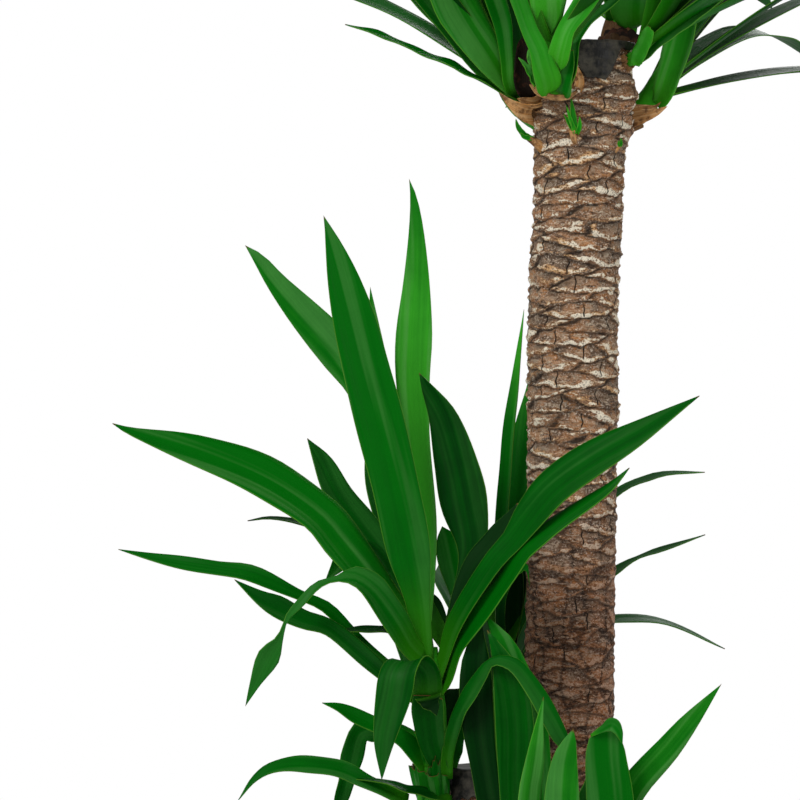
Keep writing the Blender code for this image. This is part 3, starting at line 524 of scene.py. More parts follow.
shoots["shoot_tall_right"] = {"radius": 5.5, "fan": (8, -30, 34, 24, 72, 370, 34), "stem": [(66, 18, 1334),
    (82, 8, 1337), (94, -1, 1347)], "leaves": [
    (0.86, (-2, -10, 3), [(84, 0, 1330, 5), (84, -6, 1335, 12), (89, -14, 1346, 12), (92, -20, 1355, 11),
     (92, -22, 1358, 6), (93, -23, 1360, 2)]),
    (0.48, (-2, -8, 5), [(86, 2, 1332, 3), (93, -4, 1338, 6), (101, -10, 1346, 7), (128, -26, 1366, 11),
     (154, -38, 1382, 0)]),
]}
shoots["shoot_tall_far"] = {"radius": 9.5, "fan": (8, 32, 34, 16, 64, 380, 36), "stem": [(54, 42, 1270),
    (92, 60, 1298), (106, 66, 1326)], "leaves": [
    ((0.92, 0.36), (-5, -8.5, 1), [(105, 52, 1301, 12), (109, 44, 1310, 19), (114, 40, 1326, 23),
     (120, 36, 1345, 26), (131, 28, 1389, 22), (143, 18, 1444, 0)]),
]}
shoots["shoot_middle_left"] = {"radius": 11, "fan": (5, 102, 14, 24, 60, 290, 32), "skip": (0, 1, 3),
    "stem": [
    (-56, -30, 668), (-84, -46, 698), (-85, -50, 765), (-85, -50, 842)], "leaves": [
    ((0.62, 0.4), (3, -6.5, 7), [(-88, -52, 841, 23), (-106, -56, 866, 31), (-122, -62, 888, 34),
     (-139, -68, 913, 38), (-159, -72, 938, 44), (-180, -76, 962, 45), (-220, -84, 989, 46),
     (-270, -92, 1010, 35), (-323, -100, 1027, 10), (-341, -102, 1035, 0)]),
    (0.38, (2, -8, 5), [(-90, -50, 815, 11), (-110, -54, 828, 10), (-131, -58, 846, 10), (-151, -58, 865, 10),
     (-171, -58, 885, 11), (-192, -58, 895, 10), (-231, -57, 912, 16), (-260, -54, 917, 14),
     (-300, -48, 923, 11), (-341, -42, 932, 0)]),
    (0.26, (2, -8, 5), [(-89, -50, 804, 12), (-112, -62, 821, 12), (-135, -72, 842, 16), (-167, -80, 869, 16),
     (-189, -84, 877, 18), (-209, -88, 887, 20), (-224, -90, 895, 13), (-244, -94, 910, 0)]),
    (0.58, (2, -10, 1), [(-93, -46, 848, 8), (-97, -20, 925, 21), (-116, 0, 994, 22), (-140, 10, 1057, 25),
     (-160, 18, 1089, 33), (-178, 24, 1110, 31), (-197, 28, 1131, 25), (-215, 31, 1152, 17),
     (-229, 33, 1171, 10), (-241, 34, 1183, 0)]),
    ((0.36, 0.46), (1, -10, 0), [(-92, -55, 838, 15), (-97, -66, 889, 20), (-105, -72, 934, 36),
     (-116, -77, 987, 38), (-128, -80, 1036, 40), (-139, -82, 1079, 38), (-148, -84, 1116, 35),
     (-157, -83, 1150, 26), (-164, -82, 1175, 15), (-169, -81, 1191, 6), (-173, -80, 1202, 0)]),
    (0.62, (1, -10, 1), [(-95, -44, 858, 7), (-107, -30, 957, 9), (-120, -22, 1040, 11),
     (-127, -18, 1080, 12), (-133, -14, 1116, 8), (-136, -12, 1147, 0)]),
    ((1.3, 0.6), (0, -10, 1), [(-88, -47, 842, 8), (-93, -40, 874, 15), (-93, -34, 907, 20),
     (-93, -24, 955, 23), (-98, -12, 1021, 22), (-101, -6, 1071, 28), (-100, -2, 1107, 30),
     (-98, 1, 1149, 22), (-98, 3, 1190, 13), (-100, 5, 1219, 6), (-104, 6, 1237, 0)]),
    (0.16, (-2, -10, 0), [(-78, -50, 834, 7), (-68, -48, 878, 11), (-53, -46, 928, 22), (-59, -44, 970, 39),
     (-66, -42, 1004, 35), (-76, -40, 1039, 24), (-89, -40, 1063, 10), (-96, -40, 1076, 0)]),
    (0.24, (3, -8, 5), [(-74, -46, 854, 14), (-94, -38, 886, 21), (-120, -30, 922, 22), (-143, -22, 951, 28),
     (-163, -14, 977, 25), (-176, -8, 1003, 17), (-188, -4, 1022, 0)]),
    (0.2, (1, -3, 9), [(-87, -46, 842, 18), (-105, -40, 878, 22), (-128, -35, 926, 35), (-156, -32, 943, 31),
     (-192, -32, 953, 11), (-218, -33, 957, 6), (-236, -35, 955, 0)]),
    (0.36, [(3, -8, 4), (3, -8, 4), (3, -8, 4), (2, -6, 7), (1, -6, 8), (1, -8, 5), (6, -8, 1), (2, -10, 1),
     (1, -10, 1)], [(-91, -58, 842, 19), (-103, -68, 854, 22), (-113, -80, 872, 26), (-124, -90, 889, 26),
     (-134, -98, 902, 30), (-147, -103, 911, 24), (-161, -106, 911, 7), (-177, -109, 906, 7),
     (-191, -112, 892, 7), (-201, -115, 881, 4), (-204, -117, 873, 3), (-208, -118, 863, 8),
     (-216, -120, 850, 19), (-226, -122, 830, 9), (-234, -125, 811, 0)]),
    (0.24, [(0, 10, 2), (0, 10, 2), (0, 6, 8), (-1, -5, 9), (0, -10, 3), (0, -10, 1), (0, -10, 1),
     (0, -10, 1)], [(-90, -74, 802, 21), (-89, -77, 820, 23), (-91, -86, 835, 22), (-103, -100, 845, 29),
     (-112, -111, 838, 30), (-117, -115, 817, 28), (-124, -118, 784, 17), (-126, -121, 752, 0)]),
    (0.29, (-3.5, -7.5, 5), [(-81, -48, 828, 16), (-77, -57, 841, 12), (-66, -72, 875, 18),
     (-38, -88, 921, 20), (-21, -93, 941, 23), (-7, -98, 961, 33), (12, -103, 983, 39), (43, -114, 1006, 36),
     (81, -128, 1029, 24), (124, -145, 1057, 0)]),
    (0.4, (-4, -6, 7), [(-79, -48, 816, 19), (-73, -56, 827, 22), (-65, -70, 853, 24), (-52, -80, 874, 31),
     (-27, -96, 908, 24), (-13, -104, 932, 27), (0, -109, 944, 27), (29, -117, 965, 19), (55, -123, 984, 12),
     (70, -127, 1000, 0)]),
    (0.46, (2, -8, 5), [(-86, -54, 752, 17), (-101, -62, 771, 19), (-114, -70, 783, 15), (-134, -78, 793, 15),
     (-148, -83, 800, 14), (-161, -87, 807, 8), (-174, -90, 811, 0)]),
    (0.3, (4, -8, 4), [(-85, -48, 766, 15), (-111, -42, 782, 15), (-133, -45, 785, 21), (-145, -48, 782, 17),
     (-151, -50, 763, 19), (-155, -53, 745, 14), (-160, -56, 728, 11), (-166, -58, 705, 0)]),
    (0.36, (1, -8, 5), [(-105, -60, 729, 12), (-132, -76, 743, 13), (-159, -88, 757, 16),
     (-188, -94, 762, 15), (-213, -99, 760, 10), (-228, -103, 751, 5), (-241, -108, 734, 0)]),
    (0.3, (-1, -10, 1), [(-75, -56, 747, 10), (-84, -66, 769, 18), (-87, -71, 784, 23), (-89, -76, 803, 26),
     (-89, -78, 815, 24), (-89, -79, 816, 24)]),
    (0.3, [(1, -10, 2), (1, -9, 4), (0, -6, 8), (2, -7, 7), (4, -8, 5), (4, -9, 3), (4, -9, 3)], [
     (-74, -57, 747, 10), (-73, -66, 768, 10), (-67, -78, 793, 11), (-59, -88, 811, 15), (-46, -97, 834, 11),
     (-38, -102, 844, 9), (-28, -107, 845, 12), (-17, -113, 839, 14), (-4, -120, 821, 16), (8, -126, 800, 15),
     (16, -130, 785, 13), (22, -132, 776, 4)]),
    (0, (-3, -8, 5), [(-76, -50, 838, 8), (-65, -58, 889, 12), (-54, -64, 918, 16), (-36, -72, 941, 18),
     (-16, -84, 970, 3)]),
    (0.42, (2, -9.5, 1), [(-59, -40, 861, 9), (-64, -34, 892, 12), (-70, -28, 922, 23), (-74, -22, 941, 15),
     (-77, -20, 950, 0)]),
    (0.12, (2, -9, 3), [(-71, -46, 842, 8), (-76, -38, 866, 11), (-86, -30, 889, 12), (-102, -24, 898, 0)]),
    (0.1, (1, -4, 9), [(-90, -48, 845, 13), (-115, -62, 865, 11), (-142, -66, 868, 9), (-174, -68, 865, 0)]),
    (-0.1, (1, -9, 3), [(-89, -80, 815, 22), (-87, -83, 810, 16), (-84, -85, 806, 9), (-82, -86, 800, 0)]),
    (0.2, (1, -5, 9), [(-69, -58, 728, 14), (-88, -66, 735, 15), (-107, -74, 740, 12), (-127, -80, 747, 6),
     (-156, -86, 750, 0)]),
    (0.62, (2, -9, 3), [(-87, -40, 843, 11), (-111, -30, 891, 12), (-130, -20, 915, 14), (-146, -16, 926, 15),
     (-159, -15, 921, 14), (-165, -14, 914, 9), (-173, -14, 905, 0)]),
    (-0.15, (0, -10, 1), [(-75, -44, 753, 11), (-74, -42, 773, 14), (-71, -40, 790, 17), (-68, -38, 805, 20),
     (-66, -37, 814, 18), (-66, -36, 818, 11)]),
    (0.34, (3, -9, 2), [(-69, -36, 753, 7), (-66, -35, 766, 10), (-64, -34, 778, 10), (-61, -33, 791, 4)]),
]}
shoots["shoot_middle_rear"] = {"radius": 8.5, "fan": (8, 90, 20, 14, 44, 290, 34), "skip": (1, 5, 7),
    "stem": [
    (-38, -8, 700), (-28, 26, 738), (-26, 34, 790), (-25, 38, 840)], "leaves": [
    ((-0.2, 0.95), (-4, -9, 1), [(-30, 38, 840, 11), (-29, 42, 895, 14), (-26, 46, 953, 12),
     (-23, 50, 993, 11), (-20, 53, 1028, 11), (-15, 56, 1066, 8), (-7, 60, 1130, 0)]),
    ((-0.2, 0.9), (-4, -9, 1), [(-25, 38, 839, 11), (-22, 48, 865, 27), (-20, 58, 895, 33),
     (-16, 68, 935, 32), (-11, 78, 986, 24), (-7, 86, 1028, 16), (-1, 92, 1067, 4), (4, 96, 1101, 0)]),
    (0.3, (1, -2, 10), [(-25, 39, 824, 6), (-9, 80, 865, 7), (29, 120, 926, 11), (63, 135, 963, 15),
     (84, 140, 978, 16), (101, 143, 984, 19), (120, 147, 989, 14), (153, 150, 991, 0)]),
    (0.24, (1, -2, 10), [(-25, 38, 811, 5), (-7, 90, 839, 9), (32, 120, 879, 13), (67, 130, 901, 17),
     (84, 136, 912, 12), (97, 140, 918, 8), (114, 143, 923, 15), (153, 146, 937, 0)]),
    (0.25, (1, -2, 10), [(-26, 37, 785, 7), (0, 102, 835, 12), (45, 124, 858, 16), (85, 134, 864, 18),
     (120, 140, 860, 15), (170, 146, 838, 0)]),
    (-0.25, (0, -10, 1), [(-25, 38, 811, 8), (-23, 44, 853, 20), (-24, 47, 882, 31), (-23, 49, 906, 30),
     (-20, 52, 927, 15)]),
    ((-0.25, 0.6), (1, -10, 2), [(-25, 37, 839, 8), (-28, 26, 866, 8), (-27, 14, 891, 8), (-19, 6, 911, 10),
     (-10, 5, 916, 10), (-6, 5, 912, 2), (-4, 4, 899, 0)]),
]}
shoots["shoot_short_left"] = {"radius": 9, "fan": (6, -122, 44, 14, 58, 330, 36), "stem": [(32, -70, 398),
    (10, -90, 424), (6, -93, 475)], "leaves": [
    (0.06, (-2, -10, 0), [(5, -93, 485, 11), (-13, -88, 605, 20), (-31, -80, 692, 22), (-43, -76, 756, 22),
     (-49, -76, 800, 28), (-50, -80, 838, 25), (-49, -82, 861, 13), (-47, -84, 879, 0)]),
    (0.28, (1, -10, 0), [(7, -94, 486, 13), (-4, -100, 607, 21), (-16, -98, 694, 24), (-20, -97, 746, 25),
     (-20, -97, 790, 31), (-24, -97, 826, 26), (-32, -97, 850, 13), (-42, -97, 870, 0)]),
    (0.72, (3, -9, 1), [(7, -95, 486, 8), (-1, -125, 602, 17), (-9, -138, 691, 22), (-10, -146, 739, 20),
     (-6, -149, 770, 16), (-3, -152, 796, 8), (1, -154, 821, 0)]),
    (0.64, (1, -10, 1), [(8, -95, 483, 10), (14, -132, 611, 21), (16, -148, 689, 32), (15, -156, 740, 28),
     (17, -160, 771, 20), (21, -162, 786, 11), (24, -163, 797, 0)]),
    (0.58, (2, -10, 1), [(6, -92, 485, 10), (2, -88, 693, 18), (-4, -86, 781, 24), (-14, -86, 817, 26),
     (-23, -86, 843, 23), (-30, -87, 861, 15), (-43, -88, 881, 0)]),
]}
shoots["shoot_short_right"] = {"radius": 9, "fan": (8, -15, 60, 14, 62, 330, 36), "stem": [(50, -70, 410),
    (74, -86, 436), (78, -89, 482)], "leaves": [
    (0.5, (1, -10, 1), [(78, -89, 486, 10), (64, -124, 618, 33), (56, -140, 691, 40), (53, -148, 740, 37),
     (50, -152, 767, 33), (49, -154, 783, 29), (49, -155, 792, 21), (49, -155, 798, 10)]),
    (0.64, (-3, -10, 1), [(80, -88, 486, 10), (70, -108, 608, 27), (62, -120, 681, 28), (66, -128, 728, 21),
     (74, -131, 748, 22), (85, -134, 762, 22), (100, -139, 779, 20), (117, -144, 801, 14),
     (141, -150, 831, 0)]),
    (0.56, (1, -10, 2), [(38, -157, 791, 2), (48, -161, 797, 6), (54, -165, 800, 11), (59, -167, 795, 7),
     (62, -168, 785, 0)]),
    (0.36, (2, -10, 1), [(37, -112, 656, 24), (37, -118, 697, 24), (37, -122, 725, 23), (37, -125, 741, 16),
     (37, -127, 750, 7), (36, -128, 756, 0)]),
]}
# Blades: steps along and across, the neck's share of the width, where along it is widest, how far the edges
# rise and wave, and for the fans the steps of a midrib, the lowest and highest leaf's droop in degrees, the
# most that a leaf rolls, its tones, kept dark as painted shade inside the crown, and the turn from one leaf
# to the next
blade = {
    "stations": 34, "across": 8, "neck": 0.38, "widest": 0.6, "fold": 0.16, "edgeWave": 0.0011,
    "fanSteps": 5, "fanDroop": (52, 12), "fanRoll": 0.25, "fanShadeTone": (0.02, 0.52), "goldenShare": 0.618034,
}
thin = {"leaf": 0.0009, "bract": 0.0008, "cup": 0.0006, "weld": 1e-6}  # thicknesses, and how near ones merge
stalk = {"rings": 26, "around": 24, "clasp": 0.06, "tip": 0.35, "tone": 0.75}


# A leaf's width along it: a narrow neck, widest at three fifths, then a long point
def leafShare(along):
    narrowing = max(0.0, 1 - along / blade["widest"])
    closing = max(0.0, (along - blade["widest"]) / (1 - blade["widest"]))
    return (blade["neck"] + (1 - blade["neck"]) * (1 - narrowing**1.5)) * (1 - closing**2.8)


def bladeLayers(work):
    return [work.verts.layers.float_vector.new(layer) for layer in ("bladePlace", "bladeTint")]


def faceAt(face, along):  # one way to look, or several that the blade twists through
    if isinstance(face, list):
        at = along * (len(face) - 1)
        k = min(int(at), len(face) - 2)
        return Vector(face[k]).lerp(Vector(face[k + 1]), at - k)
    return Vector(face)


# One blade bent along its midrib, with raised edges. Its points hold x, y, z and width, in metres.
def addBlade(work, layers, tone, face, points, seed, stations=0, cup=0.0, foot=0.0):
    stations = stations or blade["stations"]
    middle = smoothLine(points, stations + 1)
    line = [knot.to_3d() for knot in middle]
    tones = tone if isinstance(tone, tuple) else (tone, tone)  # painted shade and light: the tone at the foot and at the point
    widest = max(knot[3] for knot in middle)
    aims = directionsAlong(line)
    length = sum((after - before).length for before, after in zip(line, line[1:]))
    chance = random.Random(seed)
    phase, beat, twist, sway = (
        chance.uniform(*span) for span in ((0, 6.28), (2.2, 4.5), (-0.12, 0.12), (0.4, 1)))

    def place(across, along, vertex):
        at = round(along * stations)
        side = 2 * across - 1
        aim = aims[at]
        acrossWay = aim.cross(faceAt(face, along)).normalized()
        up = acrossWay.cross(aim)
        clasp = foot * max(0.0, 1 - along / 0.16) ** 1.3  # a wide foot that holds the stem
        half = (max(middle[at][3], 0) + 0.45 * clasp * widest) / 2
        bowl = cup + clasp
        turned = side * half * (1 - min(bowl, 1.2) * 0.30 * side * side)
        lift = (blade["fold"] + bowl * 0.8) * half * abs(side) ** 1.7 + twist * side * half * along
        wave = math.sin(beat * 6.28 * along + phase + side) * side * side * half / widest * 2
        vertex[layers[0]] = (length * along, side * half, seed % 97 * 0.37)
        vertex[layers[1]] = (tones[0] + (tones[1] - tones[0]) * along, along, side)
        return line[at] + acrossWay * turned + up * (lift + blade["edgeWave"] * sway * wave)

    bentGrid(work, blade["across"], stations, place)


# The leaves that fill a shoot: the lowest spring first and reach out, the highest stand up
def fanLeaves(name):
    count, middle, spread, lowRise, highRise, longest, width = shoots[name]["fan"]
    stem = smoothLine(metres(shoots[name]["stem"][1:]), 20)
    chance, tones = random.Random(name), random.Random(name + "tones")
    steps, droops = blade["fanSteps"], blade["fanDroop"]
    for k in range(count):
        share = (k + 0.5) / count
        turn = math.radians(middle + spread * (2 * ((k * blade["goldenShare"] + 0.3) % 1) - 1))
        rise = lowRise + (highRise - lowRise) * share + chance.uniform(-3, 3)
        droop = droops[0] + (droops[1] - droops[0]) * share
        length = longest / 1000 * (0.78 + 0.22 * math.sin(math.pi * (0.15 + 0.75 * share)))
        outward = Vector((math.cos(turn), math.sin(turn), 0))
        at = stem[int((0.25 + 0.7 * share) * (len(stem) - 1))]
        points = [at + outward * shoots[name]["radius"] / 1000 * 0.35]
        for step in range(steps):
            climb = math.radians(rise - droop * ((step + 0.5) / steps) ** 1.6)
            heading = outward * math.cos(climb) + Vector((0, 0, math.sin(climb)))
            points.append(points[-1] + heading * length / steps)
        tilt = math.radians(rise - droop / 3)
        roll = chance.uniform(-blade["fanRoll"], blade["fanRoll"])
        face = Vector((-math.cos(turn) * math.sin(tilt) - roll * math.sin(turn),
                       -math.sin(turn) * math.sin(tilt) + roll * math.cos(turn), math.cos(tilt)))
        wide = width / 1000 * chance.uniform(0.88, 1.08)
        knots = [(*point, wide * leafShare(k / steps)) for k, point in enumerate(points)]
        # the fan's tones are painted shade: its leaves sit inside the crown
        yield tones.uniform(*blade["fanShadeTone"]), face, knots


# A round stem along a line, closed at both ends, swollen a little where each leaf foot clasps it
def addStem(work, layers, line, radii, tone):
    count = stalk["rings"]
    centres = smoothLine(line, count)
    aims = directionsAlong(centres)
    widths = np.interp(np.linspace(0, 1, count), np.linspace(0, 1, len(radii)), radii)

    def place(around, up, vertex):
        row = round(up * (count + 1)) - 1
        at = min(max(row, 0), count - 1)
        across = aims[at].cross(Vector((0.2, 1, 0.1))).normalized()
        turn, share = fullTurn * around, at / (count - 1)
        foot = (share * 3 + 0.5 * around) % 1
        reach = widths[at] * (1 + stalk["clasp"] * (1 - foot)) if row == at else 0
        vertex[layers[0]] = (share * 0.08, math.sin(turn) * widths[at], 3.1)
        vertex[layers[1]] = (tone, 0.02 + 0.12 * share, 0.0)
        return centres[at] + (across * math.cos(turn) + aims[at].cross(across) * math.sin(turn)) * reach

    bentGrid(work, stalk["around"], count + 1, place)


def makeShoot(name, material):
    given = shoots[name]
    stem, radius = metres(given["stem"]), given["radius"] / 1000
    work = bmesh.new()
    layers = bladeLayers(work)
    for number, (tone, face, points) in enumerate(given["leaves"]):
        addBlade(work, layers, tone, face, metres(points), number * 7 + len(name))
    for number, (tone, face, points) in enumerate(fanLeaves(name)):
        if number not in given.get("skip", ()):
            addBlade(work, layers, tone, face, points, number * 11 + len(name) + 1, foot=0.3)
    finishPiece(work, "leaves" + camel(name), material, [name], thin["leaf"], 0, thin["weld"])
    work = bmesh.new()
    tip = stem[-1] + (stem[-1] - stem[-2]).normalized() * radius
    radii = [radius] * len(stem) + [radius * stalk["tip"]]
    addStem(work, bladeLayers(work), [*stem, tip], radii, stalk["tone"])
    finishPiece(work, "stem" + camel(name), material, [name])


def camel(name):
    return "".join(word.capitalize() for word in name.split("_")[1:])


# Wax on the sawn tops: from the middle of the cut, over its rim and down to a ragged edge, which runs down
# between the two directions that a cane gives. The skin stands off the bark, and lumps are its brush marks.
wax = {"thickness": 0.0012, "lip": 0.0055, "drip": (0.024, 0.034), "columns": 120, "rows": 30,
       "cutShare": 0.3, "lump": 0.00034, "stand": 0.0019}


def makeWax(name, material):
    cane, chance = canes[name], random.Random(name + "wax")
    start, end, far = cane["wax"]
    top = caneTop(cane)
    ragged = [chance.uniform(-1, 1) for _ in range(wax["columns"])]
    work = bmesh.new()

    def waves(turn, height, turns, perMetre, label, count=7):
        return float(roundNoise(np.array(turn), np.array(height), turns, perMetre, name + label, count))

    def place(around, down, vertex):
        turn = fullTurn * around
        degrees = math.degrees(math.remainder(turn, fullTurn))
        run = min(max((degrees - start + 6) / 12, 0), 1) * min(max((end - degrees + 6) / 12, 0), 1)
        least, most = wax["drip"]
        deep = least + (most - least) * (0.5 + 0.4 * waves(turn, 0.0, 26, 1, "drip", 9))
        edge = wax["lip"] + (deep * far - wax["lip"]) * run + 0.001 * math.sin(degrees / 3.1)
        edge += 0.0012 * ragged[round(around * wax["columns"]) % wax["columns"]]
        lump = wax["lump"] * waves(turn, down * edge, 12, 900, "lump")
        share = down / wax["cutShare"]
        if share < 1:  # across the cut
            at, reach = top, cane["radius"] * share
            up = top + 0.0005 + lump - 0.0004 * share**4
        else:
            below = (down - wax["cutShare"]) / (1 - wax["cutShare"]) * edge
            up = at = top - below
            reach = cane["radius"] + wax["stand"] + lump + min(below, 0.03) * 0.05
        centre = caneCentre(cane, at)
        return centre.x + reach * math.cos(turn), centre.y + reach * math.sin(turn), up

    bentGrid(work, wax["columns"], wax["rows"], place)
    finishPiece(work, "wax" + name.capitalize(), material, ["wax_" + name], wax["thickness"], 1)


# Papery cups round the feet of the shoots: tone, the start and end of the cup's axis, the radius at each, how
# far the ragged rim reaches beyond the end, and the way its longest point looks. In millimetres.
cups = {
    "cupsTallLeft": [(0.10, (14, 22, 1290), (-3, 20, 1303), 13, 12.5, 4, (-0.5, -0.8, -0.2))],
    "cupsTallFront": [(0.25, (30, 6, 1318), (19, -12, 1318), 13.6, 13.4, 2, (-0.8, -0.5, 0))],
    "cupsTallRight": [(0.30, (60, 20, 1330), (78, 9, 1335), 8, 6.8, 3, (0.2, -0.8, 0.5))],
    "cupsTallFar": [(0.20, (56, 40, 1276), (84, 46, 1293), 11.5, 11, 5, (0.2, -0.8, -0.5))],
    "cupsTallBack": [
        (0.12, (66, 66, 1338), (75, 78, 1360), 14, 15.0, 9, (-0.9, -0.5, 0.2)),
        (0.00, (67, 62, 1336), (77, 72, 1355), 15, 17.0, 6, (0.5, -0.9, 0)),
        (0.05, (66, 60, 1332), (74, 68, 1350), 15, 18.0, 3, (-0.3, -0.9, 0))],
    "cupsMiddleLeft": [
        (0.60, (-82, -46, 706), (-86, -49, 748), 9, 14.5, 12, (-0.9, -0.4, 0)),
        (0.42, (-83, -46, 720), (-85, -50, 750), 10.5, 12.2, 20, (0.8, -0.6, 0)),
        (0.55, (-85, -50, 757), (-85, -50, 778), 11.6, 12.4, 14, (-0.5, -0.9, 0))],
}
bracts = {  # torn pieces of old sheath round the crown, and one black piece of painted shade in its hollow: tone, the way each looks, then x, y, z and width
    "bractsLeft": [
        (0.78, (-0.3, -0.9, -0.3), [(2, 14, 1294, 27), (-9, 2, 1294, 18), (-20, -5, 1299, 8),
                                    (-30, -10, 1307, 0)]),
        (0.45, (-0.2, -0.9, -0.2), [(8, 8, 1304, 12), (-1, 0, 1300, 11), (-10, -6, 1301, 6),
                                    (-15, -8, 1302, 0)]),
        # painted shade: this black piece stands for the shaded hollow of the crown
        (0.00, (0.2, -1, 0), [(-5, 2, 1303, 11), (-9, -4, 1314, 21), (-9, -6, 1329, 21),
                               (-8, -6, 1344, 18), (-7, -4, 1351, 10)]),
    ],
    "bractsFront": [
        (0.50, (0.1, -1, -0.1), [(-3, -18, 1313, 5), (2, -25, 1306, 6), (11, -28, 1302, 5),
                                 (20, -28, 1301, 5), (28, -22, 1303, 4), (34, -14, 1308, 2)]),
        (0.72, (0.3, -0.9, 0), [(29, -10, 1302, 5), (35, -12, 1313, 10), (34, -16, 1322, 7),
                                (32, -20, 1329, 2)]),
    ],
    "bractsFar": [
        (0.74, (0.2, -0.9, -0.2), [(83, 34, 1291, 20), (93, 30, 1292, 13), (102, 26, 1294, 7),
                                   (111, 22, 1298, 0)]),
        (0.40, (0.2, -0.9, -0.1), [(81, 28, 1294, 15), (92, 26, 1296, 9), (101, 24, 1298, 3),
                                   (106, 22, 1302, 0)]),
    ],
}
cup = {"around": 72, "rows": 16, "crumple": 0.0011}


def makeCups(name, material):
    work = bmesh.new()
    layers = bladeLayers(work)
    for number, (tone, start, end, wide, narrow, beyond, longest) in enumerate(cups[name]):
        start, end = metres((start, end))
        aim = (end - start).normalized()
        aside = aim.cross(Vector((0.1, 1, 0.2))).normalized()
        other = aim.cross(aside)
        furthest = math.atan2(Vector(longest).dot(other), Vector(longest).dot(aside))
        chance = random.Random(name + str(number))
        torn = [chance.uniform(0.5, 1) for _ in range(cup["around"])]
        folds = [chance.uniform(0, 6.28) for _ in range(3)]

        def place(around, along, vertex):
            turn = fullTurn * around
            facing = 0.5 + 0.5 * math.cos(turn - furthest)
            rim = beyond * facing**3 + 0.35 * beyond * abs(math.sin(2.5 * turn + folds[0])) ** 3
            rim *= torn[round(around * cup["around"]) % cup["around"]] / 1000
            crumple = math.sin(7 * turn + folds[1] + 3 * along)
            crumple += 0.8 * math.sin(13 * turn + folds[2] - 4 * along)
            radius = (wide + (narrow - wide) * along) / 1000 + cup["crumple"] * crumple * (0.4 + 0.6 * along)
            radius += 0.0016 * facing**3 * along**2
            vertex[layers[0]] = (0.05 * along, radius * turn, number + 0.3)
            vertex[layers[1]] = (tone, along, 0.0)
            out = (aside * math.cos(turn) + other * math.sin(turn)) * radius
            return start + aim * ((end - start).length * along + rim * along**3) + out

        bentGrid(work, cup["around"], cup["rows"], place)
    finishPiece(work, name, material, (), thin["cup"], 0, thin["weld"])


def makeBracts(name, material):
    work = bmesh.new()
    layers = bladeLayers(work)
    for number, (tone, face, points) in enumerate(bracts[name]):
        addBlade(work, layers, tone, face, metres(points), number * 5 + 2, 16, 0.4)
    finishPiece(work, name, material, (), thin["bract"], 0, thin["weld"])


# Buds below the crown: each is a tuft of small pointed leaves given by x, y, z and width, in millimetres, and
# the line and radii of its tan foot
buds = {
    "bud_left": ([[(-2, 6, 1270, 4), (-9, 2, 1273, 5), (-14, -1, 1279, 4), (-16, -3, 1286, 0)],
                  [(-3, 4, 1270, 4), (-9, 0, 1271, 4), (-13, -4, 1275, 0)]],
                 [(8, 14, 1262), (1, 9, 1267), (-5, 4, 1270)], [4.5, 3.6, 2.2]),
    "bud_front": ([[(33, -12, 1273, 5), (31, -17, 1283, 6), (30, -19, 1292, 4), (29, -20, 1302, 0)],
                   [(32, -12, 1275, 4), (28, -16, 1280, 4), (23, -18, 1289, 0)],
                   [(34, -12, 1273, 4), (36, -16, 1279, 4), (36, -18, 1287, 0)],
                   [(32, -14, 1275, 4), (28, -19, 1285, 3), (25, -20, 1296, 0)]],
                  [(37, 6, 1252), (33, -6, 1264), (30, -13, 1276)], [0.8, 2.0, 2.8]),
    "bud_right": ([[(71, 0, 1263, 1), (71, -1, 1266, 3), (71, -2, 1270, 0)],
                   [(70, 0, 1263, 1), (69, -1, 1265, 2), (69, -2, 1268, 0)]],
                  [(64, 10, 1258), (68, 3, 1261), (70, 1, 1264)], [2.4, 1.8, 0.9]),
}


def makeBud(name, green, tan):
    tuft, line, radii = buds[name]
    work = bmesh.new()
    layers = bladeLayers(work)
    for number, points in enumerate(tuft):
        addBlade(work, layers, 0.16 + 0.08 * number, (0.1, -1, 0.1), metres(points), number * 3 + 1, 14, 0.5)
    finishPiece(work, "points" + camel(name), green, [name], thin["bract"], 0, thin["weld"])
    work = bmesh.new()
    addStem(work, bladeLayers(work), metres(line), [radius / 1000 for radius in radii], 0.6)
    finishPiece(work, "foot" + camel(name), tan, [name])


# Soil: a crumbly top that dips round the rim, with bits of bark lying on it
soil = {"top": 0.250, "bottom": 0.0033, "uneven": 0.004, "rows": 64, "columns": 120, "chips": 130,
        "chipRadius": (0.002, 0.005), "potTop": 0.1400, "potBase": 0.104, "potHeight": 0.265, "wall": 0.0032}


def soilRadius(height):
    return soil["potBase"] + (soil["potTop"] - soil["potBase"]) * height / soil["potHeight"] - soil["wall"]


